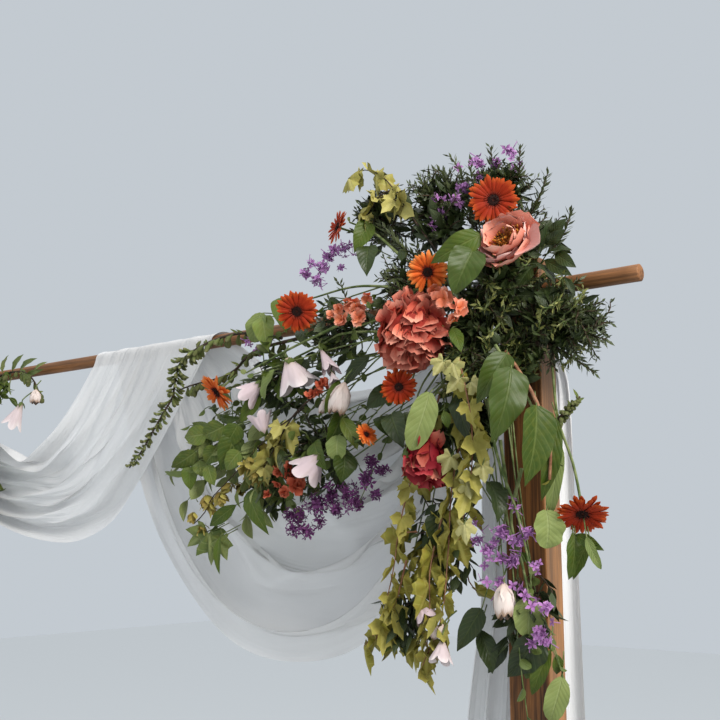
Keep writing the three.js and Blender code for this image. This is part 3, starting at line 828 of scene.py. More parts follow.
def make_timber(look):
    dark, light, pole = tuple(look.post_dark), tuple(look.post_light), tuple(look.pole_colour)
    for word, side in SIDES:
        # Each post's outer face is painted paler as painted key light.
        for node, grain, painted_lit_face in ((f"post_{word}", "z", side), (f"foot_board_inner_{word}", "y", 0),
                (f"foot_board_outer_{word}", "y", 0)):
            low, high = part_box(node)
            stain = timber_material(f"stain_{node}", dark, light, scaled(dark, 0.35), grain,
                tuple((low + high) / 2), tuple((high - low) / 2), look.wear, painted_lit_face)
            fit(rounded_timber(f"timber_{node}", node, stain), "post_timber", node)
    make_pole(pole)
    steel = zinc_material()
    peg = timber_material("peg_wood", scaled(pole, 0.6), pole, scaled(pole, 0.3), "y", (0.0, 0.0, POLE_Z),
        (POST_X + PEG_RADIUS, POST_HALF_Y, PEG_RADIUS), wear=0.2)
    for name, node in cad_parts.items():
        finish = steel if "bolt" in name else peg if "peg" in name else None
        if finish:
            node.data.materials.clear()
            node.data.materials.append(finish)


def zinc_material():
    """Galvanised steel with a spangle and a little rust."""
    material, nodes, shader = surface("zinc_steel", Metallic=1.0)
    place = nodes.place()
    spangle = nodes.add("ShaderNodeTexVoronoi", {"Vector": place, "Scale": 260.0}).outputs["Color"]
    grey = nodes.one("ShaderNodeSeparateColor", {0: spangle})
    rust = nodes.band(nodes.noise(place, 120.0, 3.0), 0.58, 0.72)
    zinc = nodes.mix(grey, (0.34, 0.35, 0.36), (0.52, 0.53, 0.54))
    nodes.link(nodes.mix(nodes.times(rust, 0.5), zinc, (0.2, 0.1, 0.05)), shader.inputs["Base Color"])
    nodes.link(nodes.band(grey, 0.0, 1.0, 0.35, 0.55), shader.inputs["Roughness"])
    return material


def make_pole(colour):
    """A peeled and stained pole, slightly uneven, with rounded cut ends."""
    rng = np.random.default_rng(11)
    along = np.r_[-POLE_END, np.linspace(-POLE_END + 0.002, POLE_END - 0.002, 120), POLE_END]
    uneven = np.convolve(rng.normal(0, 1, 140), np.ones(19) / 19, "valid")[:122] * 0.0011
    radius = POLE_RADIUS + np.clip(uneven, -0.0006, 0.0005)
    radius[0] = radius[-1] = POLE_RADIUS - 0.003
    turn = np.linspace(0, TAU, 40, endpoint=False)
    ring = np.stack([0 * turn, np.cos(turn), np.sin(turn)], 1)
    oval = 1 + 0.02 * np.cos(2 * turn)[None, :, None] * np.sin(along * 2.1)[:, None, None]
    axis = np.stack([along, 0 * along, POLE_Z + 0 * along], 1)[:, None]
    points = axis + ring[None] * radius[:, None, None] * oval
    ends = []
    for edge in (points[:1], points[-1:]):
        middle = np.array([edge[0, 0, 0], 0, POLE_Z])
        ends.append(np.vstack([middle + (edge - middle) * share for share in (0.001, 0.45, 0.8)]))
    sheaf = Sheaf()
    sheaf.grid(np.vstack([ends[0], points, ends[1][::-1]]), closed=True)
    stain = timber_material("pole_stain", scaled(colour, 0.42), colour, scaled(colour, 0.16), "x",
        (0.0, 0.0, POLE_Z), (POLE_END, 0.5, 0.5), wear=0.0)
    fit(sheaf.make("round_pole", [stain]), "pole_wood", "top_pole")


# Cloth
SWAG_RIGHT = {
    "upper": [(390, 21, 2188), (600, 45, 2090), (830, 50, 2065), (1000, 42, 2110), (1124, 30, 2190)],
    "lower": [(-95, 21, 2188), (-15, 42, 1920), (120, 60, 1675), (350, 70, 1468), (600, 72, 1424),
              (830, 68, 1500), (1010, 55, 1760), (1124, 32, 2168)],
}
SWAG_LEFT = {
    "upper": [(-145, -21, 2188), (-200, -32, 2100), (-261, -40, 2012), (-328, -46, 1956), (-404, -48, 1914),
              (-452, -50, 1940), (-507, -50, 1980), (-563, -48, 2013), (-700, -46, 2078), (-900, -42, 2140),
              (-1124, -30, 2190)],
    "lower": [(330, -21, 2188), (110, -52, 1890), (10, -60, 1735), (-139, -66, 1687), (-285, -66, 1710),
              (-521, -62, 1789), (-820, -52, 1940), (-1124, -32, 2168)],
}
TAIL_INNER = [(1135, 2215), (1085, 1800), (1078, 1560), (1035, 1320), (985, 130)]
TAIL_OUTER = [(1300, 2215), (1305, 1976), (1302, 1731), (1306, 1418), (1325, 130)]
COLUMNS = 80
ROWS_LEFT, ROWS_OVER, ROWS_RIGHT = 66, 14, 76
# Creases: how many across the cloth, height, sideways drift and phase
CREASES_LEFT = [(3.0, 0.02, 0.16, 0.15), (5.0, 0.015, 0.1, 0.62), (9.0, 0.01, 0.08, 0.31)]
CREASES_RIGHT = [(2.0, 0.055, 0.2, 0.3), (5.0, 0.05, 0.16, 0.1), (8.0, 0.03, 0.1, 0.7),
    (13.0, 0.014, 0.06, 0.25)]
PINCH = 14  # small pleats where the cloth is bunched
PLEATS = 5  # soft pleats across a swag
TAIL_FOLDS, TAIL_ROWS = 6, 37
WRAP_RIGHT, WRAP_LEFT = (-30, 375, 28), (210, -345, 36)  # degrees round the pole, from and to, and rows
CLOTH_GAP = 0.0032  # least gap between the cloth and the pole
BUNCH_WIDTH, BUNCH_DEPTH = 0.042, 0.011
OVER_POLE = 0.075  # flat length of the part that lies over the pole
FALL_FRAMES = 36  # how long the swags fall before they come to rest


def round_pole(angle):
    """The way out from the pole's axis."""
    return np.array([0, math.cos(angle), math.sin(angle)])


def bunch_row(centre, normal, t, pinch):
    """One row of the cloth where it is bunched, pleated across the pole."""
    centre, normal = np.asarray(centre), np.asarray(normal)
    along = np.array([BUNCH_WIDTH, 0, 0]) * (0.5 - t)[:, None]
    return centre + along + normal * BUNCH_DEPTH * pinch[:, None]


def wrap_rows(side, t, pinch):
    """The bunched cloth wound round the pole beside a post, from the swag's end to the tail's top."""
    first, last, count = WRAP_RIGHT if side > 0 else WRAP_LEFT
    rows = []
    for share in np.linspace(0, 1, count):
        angle = math.radians(first + (last - first) * share)
        radius = 0.029 + 0.008 * share
        out = round_pole(angle)
        centre = np.array([side * (1.142 + 0.034 * share), 0, POLE_Z]) + out * radius
        rows.append(bunch_row(centre, out, t, pinch))
    if side > 0:  # tucked back over itself, so that the tail hangs behind the post
        middle = centre + np.array([0, 0.012, 0.002])
        for angle in np.radians([150, 110, 70, 30, 0]):
            out = round_pole(angle)
            rows.append(bunch_row(middle + out * 0.012, -out, t, pinch))
    return rows


def tail_rows(side, start, t, pinch, rng):
    """The hanging tail behind a post: the bunch opens into long uneven folds."""
    inner, outer = np.array(TAIL_INNER) * MM, np.array(TAIL_OUTER) * MM
    widths = rng.uniform(0.5, 1.6, 2 * TAIL_FOLDS)
    edges = np.r_[0, np.cumsum(widths)] / widths.sum()
    phase = np.interp(t, edges, np.arange(len(edges)) * math.pi)
    depth = np.interp(t, 0.5 * (edges[1:] + edges[:-1]), rng.uniform(0.45, 1.25, len(widths)))
    rows = []
    top, bottom = start[:, 2].mean(), TAIL_INNER[-1][1] * MM
    for share in np.linspace(0, 1, TAIL_ROWS + 1)[1:]:
        z = top + (bottom - top) * share
        near = np.interp(-z, -inner[:, 1], inner[:, 0])
        far = np.interp(-z, -outer[:, 1], outer[:, 0])
        first, last = (far, near) if side > 0 else (-near, -far)
        x = first + (last - first) * t
        opened, hung, free = (smooth_step(share / end) for end in (0.09, 0.3, 0.05))
        x = x + 0.006 * np.cos(phase + 0.8) * hung
        drift = 0.45 * np.sin(3.1 * share + side + 5 * t)
        deep = 0.024 * hung * depth * (0.9 + 0.2 * np.sin(2.2 * share + 4 * t))
        y = 0.066 + 0.004 * math.sin(2 * share) + deep * np.sin(phase + drift)
        y = y + 0.011 * (1 - hung) * pinch * (-side)
        z = z + 0.004 * np.sin(TAU * 2 * t) * share
        rows.append(np.stack([between(start[:, 0], x, opened), between(start[:, 1], y, free), z], 1))
    return rows


def swag_rows(swag, count, t, deep_first, pinch, broad, toward):
    """Rows of a swag between the pole and the bunch, and how long each column is."""
    upper, short = spread_along(as_mm(swag["upper"]), count)
    lower, long = spread_along(as_mm(swag["lower"]), count)
    a, b = (lower, upper) if deep_first else (upper, lower)
    lengths = (long, short) if deep_first else (short, long)
    rows = []
    for k in range(count):
        share = k / (count - 1)
        base = between(a[k], b[k], t[:, None])
        soft = (0.034 if deep_first else 0.026) * smooth_step(share / 0.3) * smooth_step((1 - share) / 0.35)
        tight = 0.009 * smooth_step((share - 0.72) / 0.28)
        offset = np.zeros_like(base)
        offset[:, 1] = toward * (soft * broad + tight * pinch)
        offset[:, 2] = -0.2 * soft * np.cos(TAU * PLEATS * t)
        rows.append(base + offset)
    return rows, lengths


def over_pole_rows(t, broad):
    """Rows of the part that lies over the pole, from front to back."""
    front, back = -0.145 + 0.475 * t, -0.095 + 0.485 * t
    radius = 0.0215 + 0.0012 * broad
    rows = []
    for k in range(1, ROWS_OVER):
        share = k / ROWS_OVER
        angle = math.pi * share
        x = between(front, back, share)
        rows.append(np.stack([x, -math.cos(angle) * radius, POLE_Z + math.sin(angle) * radius], 1))
    return rows


def flat_shape(grid, turns, first, second, t, width):
    """Where the grid's points lie in the flat cloth; first and second are the lengths of the two swags."""
    rest = np.zeros_like(grid)
    for k in range(len(grid)):
        if k <= turns[0]:
            rest[k, :, 0] = first * k / turns[0]
        elif k < turns[1]:
            rest[k, :, 0] = first + OVER_POLE * (k - turns[0]) / (turns[1] - turns[0])
        else:
            rest[k, :, 0] = first + OVER_POLE + second * (k - turns[1]) / (len(grid) - 1 - turns[1])
    rest[:, :, 1] = width * t
    return rest


def drape_cloth(look):
    """One long cloth from tail to tail. The swags are simulated between the bunches and the pole."""
    t = np.linspace(0, 1, COLUMNS + 1)
    pinch = 2 / math.pi * np.arcsin(0.96 * np.sin(TAU * PINCH * (t + 0.004 * np.sin(19 * t))))
    broad = np.sin(TAU * PLEATS * (t + 0.03 * np.sin(TAU * 1.3 * t + 0.7)) + 0.6)
    broad = broad * (0.8 + 0.3 * np.sin(TAU * 1.1 * t + 1.0))
    left, left_lengths = swag_rows(SWAG_LEFT, ROWS_LEFT + 1, t, False, pinch, broad, -1)
    right, right_lengths = swag_rows(SWAG_RIGHT, ROWS_RIGHT + 1, t, True, pinch, broad, 1)
    left.reverse()
    wraps = {word: wrap_rows(side, t, pinch) for word, side in SIDES}
    left[0], right[-1] = wraps["left"][0], wraps["right"][0]
    over = over_pole_rows(t, broad)
    grid = np.array(left + over + right)
    turns = len(left) - 1, len(left) + len(over)
    rest = flat_shape(grid, turns, between(*left_lengths, t), between(*right_lengths, t), t,
        look.cloth_width)
    pinned = np.zeros(grid.shape[:2], bool)
    pinned[0] = pinned[-1] = True
    pinned[turns[0] + 2:turns[1] - 1] = True
    fallen = simulated(grid, rest, pinned)
    keep = np.zeros(grid.shape[:2])
    # the left swag's upper edge is caught up in a notch, so it keeps most of its first shape
    keep[:turns[0]] = 0.85 * np.clip(1 - t / 0.45, 0, 1)[None, :]
    grid = fallen + (grid - fallen) * keep[:, :, None]
    grid = clear_of_pole(creased(grid, turns))
    rng = np.random.default_rng(4)
    tails = {word: tail_rows(side, wraps[word][-1], t, pinch, rng) for word, side in SIDES}
    rows = np.array([*tails["left"][::-1], *wraps["left"][::-1], *grid[1:-1], *wraps["right"],
        *tails["right"]])
    middle = rows[:, COLUMNS // 2]
    length = float(np.linalg.norm(np.diff(middle, axis=0), axis=1).sum())
    return rows, length


def simulated(grid, rest, pinned):
    """The swags fall under gravity from their first shape; returns where they come to rest."""
    rows, cols = grid.shape[:2]
    sheaf = Sheaf()
    sheaf.grid(grid)
    obj = sheaf.make("falling_cloth", [])
    obj.shape_key_add(name="Basis")
    flat = obj.shape_key_add(name="flat")
    flat.data.foreach_set("co", rest.reshape(-1))
    group = obj.vertex_groups.new(name="held")
    group.add([int(k) for k in np.nonzero(pinned.reshape(-1))[0]], 1.0, "REPLACE")
    cloth = obj.modifiers.new("Cloth", "CLOTH")
    knobs = cloth.settings
    knobs.quality, knobs.mass = 5, 0.1
    knobs.tension_stiffness, knobs.compression_stiffness = 12, 4
    knobs.shear_stiffness, knobs.bending_stiffness = 2, 0.22
    knobs.tension_damping = knobs.compression_damping = knobs.shear_damping = 5
    knobs.bending_damping, knobs.air_damping = 0.5, 2.0
    knobs.vertex_group_mass = "held"
    knobs.rest_shape_key = obj.data.shape_keys.key_blocks["flat"]
    cloth.collision_settings.use_collision = False
    cloth.collision_settings.use_self_collision = False
    cloth.point_cache.frame_start, cloth.point_cache.frame_end = 1, 60
    scene = bpy.context.scene
    for step in range(1, FALL_FRAMES + 1):
        scene.frame_set(step)
    fallen = obj.evaluated_get(bpy.context.evaluated_depsgraph_get())
    points = np.zeros(rows * cols * 3, np.float32)
    fallen.data.vertices.foreach_get("co", points)
    bpy.data.objects.remove(obj)
    scene.frame_set(1)
    return points.reshape(rows, cols, 3).astype(float)


def folds(creases, t, share):
    """Height of the long folds at each point of a swag."""
    total = 0
    for cycles, size, drift, start in creases:
        wander = t + drift * np.sin(TAU * (1.1 * share + start)) * np.sin(math.pi * t)
        fade = 0.55 + 0.45 * np.sin(TAU * (1.7 * t + 1.3 * share + 2 * start))
        ridge = (1 - np.abs(np.sin(math.pi * (cycles * wander + start)))) ** 1.9
        total = total + size * ridge * fade
    return total


def creased(grid, turns):
    """Long creases that run with the cloth, strongest halfway down each swag."""
    rows, cols = grid.shape[:2]
    t = np.linspace(0, 1, cols)[None, :]
    run = np.arange(rows)[:, None]
    left, right = run / turns[0], (run - turns[1]) / (rows - 1 - turns[1])
    share = np.where(run <= turns[0], 1 - left, np.clip(right, 0, 1))
    normal = np.cross(np.gradient(grid, axis=0), np.gradient(grid, axis=1))
    normal /= np.maximum(np.linalg.norm(normal, axis=2), 1e-9)[:, :, None]
    ripple = np.where(run <= turns[0], folds(CREASES_LEFT, t, share), folds(CREASES_RIGHT, t, share) - 0.06)
    hold = np.clip(share / 0.1, 0, 1) * np.clip((1 - share) / 0.22, 0, 1)
    return grid + normal * (ripple * hold * np.clip(6 * t, 0, 1) * np.clip(6 * (1 - t), 0, 1))[:, :, None]


def clear_of_pole(grid):
    """Moves cloth out of the pole and smooths it a little."""
    for _ in range(2):
        inner = grid.copy()
        inner[1:-1, 1:-1] = 0.5 * grid[1:-1, 1:-1] + 0.125 * (grid[2:, 1:-1] + grid[:-2, 1:-1]
            + grid[1:-1, 2:] + grid[1:-1, :-2])
        grid = inner
    off = grid[:, :, 1:] - np.array([0, POLE_Z])
    far = np.linalg.norm(off, axis=2)
    least = POLE_RADIUS + CLOTH_GAP
    near = far < least
    grid[near, 1:] = np.array([0, POLE_Z]) + off[near] / np.maximum(far[near], 1e-6)[:, None] * least
    return grid


def voile_material(colour, cover):
    material, nodes, shader = surface("sheer_voile", Specular_IOR_Level=0.1)
    uv = nodes.one("ShaderNodeUVMap", uv_map="UVMap")
    threads, slub, creases = (nodes.vector("MULTIPLY", uv, (*size, 1.0))
        for size in ((4400, 46000), (260, 2), (17, 5)))
    warp, weft = (nodes.sum("ABSOLUTE", nodes.sum("SINE", v)) for v in nodes.split(threads)[:2])
    weave = nodes.times(nodes.plus(warp, weft), 0.5)
    cloudy = nodes.band(nodes.noise(nodes.place(), 3.0, 2.0), 0.3, 0.7)
    base = nodes.mix(cloudy, scaled(colour, 0.95), scaled(colour, 1.05))
    slubbed = nodes.mix(nodes.band(nodes.noise(slub, 1.0, 2.0), 0.55, 0.75, 0.0, 0.06), base,
        (0.6, 0.6, 0.63))
    opacity = nodes.sum("ADD", nodes.times(nodes.minus(weave, 0.6), 0.08), cover, True)
    wrinkle = nodes.band(nodes.noise(creases, 1.0, 3.0, 0.55), 0.3, 0.7)
    return dress(material, nodes, shader, nodes.plus(wrinkle, nodes.times(weave, 0.02)), 0.7, 0.008,
        Base_Color=slubbed, Roughness=nodes.band(weave, 0.0, 1.0, 0.95, 0.8), Alpha=opacity)


def make_drape(look):
    rows, length = drape_cloth(look)
    sheaf = Sheaf()
    sheaf.grid(rows)
    drape = sheaf.make("long_drape", [voile_material(tuple(look.cloth_colour), look.cloth_cover)])
    smooth = drape.modifiers.new("Soft folds", "SUBSURF")
    smooth.levels = smooth.render_levels = 1
    fit(drape, "cloth", "drape_over_pole", "drape_swag_left", "drape_swag_right", "drape_gather_left",
        "drape_gather_right", "drape_tail_left", "drape_tail_right")


# Foliage. Lumps are centre x, y, z and radii x, y, z.
CROWN = [(1240, -40, 2235, 150, 130, 165), (1075, -45, 2390, 130, 85, 105), (930, -55, 2390, 95, 65, 95),
    (1060, -60, 2205, 170, 115, 150), (1345, -40, 2105, 120, 95, 95), (1225, -55, 2385, 90, 65, 85)]
SWEEP = [(850, -80, 2150, 150, 90, 125), (640, -80, 2070, 150, 85, 130), (450, -80, 1950, 120, 70, 150),
    (800, -90, 1880, 150, 85, 130), (640, -85, 1840, 110, 65, 120)]
SWEEP_LEFT = [(850, -80, 2150, 150, 90, 125), (680, -75, 2080, 125, 80, 115), (560, -62, 2150, 100, 55, 70),
    (800, -90, 1880, 150, 85, 130), (640, -85, 1840, 110, 65, 120)]
FALL = [(1110, -100, 1940, 140, 90, 150), (1120, -100, 1730, 130, 80, 160), (1010, -100, 1580, 90, 60, 130),
    (1280, -95, 1600, 85, 58, 150), (1300, -85, 1455, 55, 45, 80)]
TIED_AT = np.array([1180, -70, 2170])  # where the stems are tied to the post and pole


def lump_stems(lumps, side, per_lump, rng, reach=1.0, upward=0.35, inner=0.2):
    """Short stems that run from inside each lump out to its skin."""
    paths = []
    for x, y, z, rx, ry, rz in lumps:
        centre, size = np.array([x, y, z], float), np.array([rx, ry, rz])
        flow = unit(centre - TIED_AT + rng.normal(0, 1, 3))
        for _ in range(per_lump):
            way = unit(rng.normal(0, 1, 3) + 0.6 * flow + np.array([0, -0.2, upward]))
            tip = centre + way * size * reach * rng.uniform(0.75, 1.0)
            start = centre + way * size * rng.uniform(inner - 0.2, inner + 0.15)
            start = start + rng.normal(0, 0.12, 3) * size
            bend = 22 * rng.uniform(-1, 1)
            paths.append(arc(as_mm(start, side), as_mm(tip, side), bend * MM, 7, 0.008, rng))
    return paths


def keep_clear(paths, margin=0.0):
    """Leaves out the stems that end in the post or the pole."""
    kept = []
    for path in paths:
        x, y, z = path[-1]
        beside = abs(abs(x) - POST_X) < POST_HALF_X + margin and abs(y) < POST_HALF_Y + margin
        if not (beside and z < POST_TOP) and np.hypot(y, z - POLE_Z) > POLE_RADIUS + margin:
            kept.append(path)
    return kept


# The leaf shapes that the stems carry
LEAF_SHAPES = {
    "needle": dict(length=0.0235, width=0.0082, outline="lance", rows=2, cols=2, curl=0.25, fold=0.2),
    "filler": dict(length=0.058, width=0.027, outline="lance", rows=3, cols=2, curl=0.6, fold=0.35),
    "oval": dict(length=0.052, width=0.029, rows=6, curl=-0.7, fold=0.35, wave=0.12),
    "soft": dict(length=0.058, width=0.038, rows=6, curl=-0.6, fold=0.25, wave=0.2),
    "lobed": dict(length=0.070, lobes=3, depth=0.42, curl=0.45, fold=0.2, narrow=0.72, teeth=0.09),
    "round": dict(length=0.034, width=0.028, outline="round", rows=6, curl=-0.5, cup=0.25, wave=0.1),
}


def make_leaves():
    return {name: template(name, **shape) for name, shape in LEAF_SHAPES.items()}


def make_foliage(look):
    leaves = make_leaves()
    for word, side in SIDES:
        seed = seed_of(look, side)
        rng = np.random.default_rng(seed)
        for place, stems_of, slot in (("crown", crown_stems, "leaves"), ("sweep", sweep_stems, "leaves"),
                ("fall", fall_stems, "trailing_leaves")):
            parts = [leafy(name, paths, leaves, seed) for name, paths in stems_of(side, rng).items()]
            fit(merged(f"{place}_greenery_{word}", parts), slot, f"foliage_{place}_{word}")


# Upright spires of narrow leaves above the crown: foot and tip
SPIRES = [
    (1170, -60, 2330, 1120, -80, 2500), (1120, -60, 2330, 1040, -85, 2475),
    (1250, -60, 2380, 1290, -80, 2480), (1290, -60, 2330, 1345, -70, 2415),
    (1080, -60, 2330, 990, -90, 2430), (1190, -70, 2350, 1175, -90, 2470),
    (1040, -70, 2280, 930, -90, 2385), (1330, -60, 2150, 1440, -70, 2120),
    (1330, -60, 2110, 1450, -60, 2065), (1320, -60, 2080, 1425, -60, 2005),
    (1300, -60, 2160, 1400, -60, 2190), (1140, -60, 2380, 1085, -75, 2480),
    (1210, -60, 2400, 1215, -75, 2500), (1320, -60, 2250, 1385, -60, 2330),
    (1000, -60, 2300, 890, -80, 2400), (1320, -60, 2130, 1400, -80, 2040),
]
# The dense growth in front of the post's head
CROWN_FRONT = [(1235, -120, 2195, 95, 62, 95), (1330, -70, 2115, 100, 75, 90),
    (1180, -120, 2060, 90, 60, 100), (1265, -95, 2060, 60, 50, 60)]
# Dark growth between the large flowers
HEART = [(1108, -75, 2342, 62, 40, 52), (1195, -105, 2135, 70, 45, 75), (1200, -115, 1960, 65, 45, 85),
    (1270, -100, 2040, 45, 40, 50)]


def crown_stems(side, rng):
    """The stems of the crown, by their row in the growth table."""
    paths = {"crown_narrow": keep_clear(lump_stems(CROWN, side, 46, rng))}
    paths["crown_spires"] = [arc(*ends_of(row, side), 0.0, 9, 0.006, rng) for row in SPIRES]
    paths["crown_front"] = keep_clear(lump_stems(CROWN_FRONT, side, 30, rng, upward=0.1))
    paths["crown_gold"] = keep_clear(lump_stems(CROWN_FRONT, side, 24, rng, 1.06, upward=0.2, inner=0.7))
    inner = keep_clear(lump_stems([*CROWN, *CROWN_FRONT], side, 15, rng, 0.72, inner=0.1))
    paths["crown_dark"] = inner + keep_clear(lump_stems(HEART, side, 16, rng, 0.9, 0.0, 0.1))
    return paths


def loose_stems(lumps, side, rng, spread, bend, sway, tip_lower=(0, 0, 0), foot_lower=(0, 0, 0)):
    """Thin stems from where the spray is tied to places inside the lumps."""
    lines = []
    for *centre, rx, ry, rz in lumps:
        for _ in range(4):
            tip = np.array(centre) + rng.uniform(-0.8, 0.8, 3) * np.array([rx, ry, rz]) - tip_lower
            start = TIED_AT + rng.normal(0, 1, 3) * np.array(spread) - foot_lower
            lines.append(arc(as_mm(start, side), as_mm(tip, side), rng.uniform(-bend, bend), 12, sway, rng))
    return lines


def sweep_stems(side, rng):
    lumps = SWEEP if side > 0 else SWEEP_LEFT
    soft = [lumps[2], lumps[4]] if side > 0 else lumps[3:]
    paths = {"sweep_dark": lump_stems([*lumps[:2], *lumps[3:]], side, 16, rng, 0.8, 0.0, 0.1)}
    paths["sweep_fresh"] = lump_stems(lumps, side, 8, rng, 0.95, 0.0)
    paths["sweep_soft"] = lump_stems(soft, side, 9, rng, 1.0, -0.2)
    paths["sweep_narrow"] = lump_stems([lumps[0], lumps[3]], side, 10, rng, 1.0, 0.1)
    paths["sweep_stems"] = loose_stems(lumps, side, rng, (60, 25, 60), 0.05, 0.03)
    return paths


def fall_stems(side, rng):
    paths = {"fall_dark": keep_clear(lump_stems(FALL[:4], side, 13, rng, 0.74, -0.3, 0.1))}
    paths["fall_fresh"] = keep_clear(lump_stems(FALL[:1], side, 14, rng, 0.95, -0.2))
    paths["fall_yellow"] = keep_clear(lump_stems(FALL[1:3], side, 6, rng, 1.0, -0.5, 0.4))
    lines = loose_stems(FALL, side, rng, (60, 20, 60), 0.03, 0.02, (0, 25, 30), (0, 30, 60))
    paths["fall_stems"] = keep_clear(lines, 0.01)
    return paths


# Trailing stems that the photo shows one by one: points along each, by their row in the growth table
TRAILS = {
    "trail_lobed": [
        [(1110, -120, 1980), (1075, -150, 1850), (1035, -155, 1730), (1010, -150, 1620), (960, -140, 1490)],
        [(1190, -130, 1965), (1165, -160, 1805), (1150, -160, 1650), (1125, -150, 1535), (1070, -140, 1440)],
        [(1190, -170, 2040), (1225, -185, 1915), (1215, -175, 1805), (1175, -160, 1690)],
        [(1045, -150, 1650), (1015, -145, 1570), (975, -140, 1520), (925, -135, 1475)],
        [(1140, -150, 1760), (1110, -160, 1640), (1100, -150, 1560), (1085, -140, 1475)],
    ],
    "trail_yellow": [
        [(1105, -90, 2270), (1045, -100, 2357), (1011, -100, 2408), (970, -102, 2467), (930, -104, 2502),
         (890, -104, 2512), (858, -106, 2500)],
        [(1028, -98, 2385), (985, -105, 2425), (935, -108, 2440)],
        [(985, -100, 2450), (950, -108, 2440), (915, -112, 2400)],
        [(800, -140, 2010), (740, -150, 1965), (690, -150, 1905), (650, -150, 1850)],
        [(760, -140, 1980), (715, -150, 1950), (668, -150, 1930)],
    ],
    "trail_oval": [
        [(710, -100, 2015), (575, -120, 1945), (430, -125, 1915), (315, -125, 1865)],
        [(645, -110, 1960), (530, -125, 1885), (435, -125, 1835), (375, -125, 1785)],
        [(700, -120, 1910), (630, -135, 1835), (585, -135, 1745)],
        [(720, -120, 1960), (660, -135, 1900), (600, -140, 1850), (560, -140, 1800)],
    ],
    "trail_post": [
        [(1305, -90, 1580), (1330, -75, 1490), (1345, -60, 1415)],
    ],
    "trail_bare": [
        [(1185, -120, 2110), (1010, -120, 2125), (860, -120, 2140), (794, -120, 2121), (700, -120, 2095),
         (560, -100, 2050)],
        [(1055, -110, 2210), (900, -120, 2240), (750, -110, 2235)],
        [(1295, -120, 1825), (1275, -130, 1730), (1295, -130, 1655), (1310, -125, 1565)],
        [(1255, -130, 1880), (1270, -135, 1765), (1245, -135, 1655)],
        [(1270, -165, 2060), (1330, -160, 1960), (1365, -140, 1875), (1375, -130, 1835)],
        [(995, -100, 2300), (930, -105, 2360), (865, -110, 2395)],
        [(932, -150, 2173), (856, -155, 2147), (725, -155, 2113), (584, -145, 2075)],
        [(1240, -150, 1960), (1262, -155, 1850), (1300, -150, 1740), (1322, -145, 1640)],
    ],
    "trail_red": [
        [(1283, -150, 2048), (1317, -158, 2004), (1348, -160, 1954), (1367, -158, 1902), (1374, -152, 1855),
         (1367, -145, 1800)],
    ],
}
HOP_STEMS = [
    [(700, -135, 1955), (640, -140, 1912), (581, -140, 1866), (517, -140, 1819), (474, -140, 1787),
     (445, -138, 1750), (408, -135, 1727)],
    [(700, -140, 1915), (655, -145, 1885), (603, -140, 1855)],
]
# The left spray is shorter: its trailing stems and single leaves begin this far from the middle.
LEFT_STEMS_FROM, LEFT_LEAVES_FROM = 470, 530
SPIKE = [(640, -85, 2160), (520, -88, 2186), (433, -88, 2183), (354, -88, 2166), (296, -88, 2139),
    (276, -88, 2096), (266, -88, 2050), (234, -88, 2012), (197, -87, 1970), (153, -86, 1920),
    (102, -84, 1876)]
SPIKE_BRANCH = [(700, -95, 2150), (586, -97, 2140), (534, -97, 2121), (501, -97, 2097), (453, -97, 2082),
    (393, -96, 2077), (339, -94, 2072), (295, -92, 2065)]
SMALL_SPIKE = [(1335, -92, 1892), (1348, -92, 1908), (1378, -92, 1930), (1408, -92, 1956)]
SPIKE_LEFT = [(640, -85, 2140), (570, -78, 2172), (500, -66, 2190), (430, -60, 2185), (370, -64, 2150),
    (325, -72, 2100)]
# Spikes of each side: path, rows, where the capsules begin to be close-set, and the longest in millimetres
SPIKES = {"right": [(SPIKE, 88, 0.42, 44), (SPIKE_BRANCH, 40, 2.0, 36)], "left": [(SPIKE_LEFT, 50, 2.0, 36)]}
# Pale lobed leaves: foot, tip and width
CREAM_LEAVES = [
    (1170, -195, 2035, 1156, -209, 2006, 31), (1190, -195, 2030, 1208, -209, 1998, 30),
    (1205, -190, 2000, 1187, -208, 1971, 28), (1225, -185, 1990, 1252, -196, 1970, 28),
    (1130, -170, 2100, 1112, -188, 2071, 25), (1205, -185, 1720, 1210, -192, 1683, 30),
    (1210, -180, 1800, 1221, -187, 1768, 30), (1175, -180, 1850, 1164, -191, 1814, 30),
    (1245, -180, 1830, 1254, -187, 1798, 25),
]
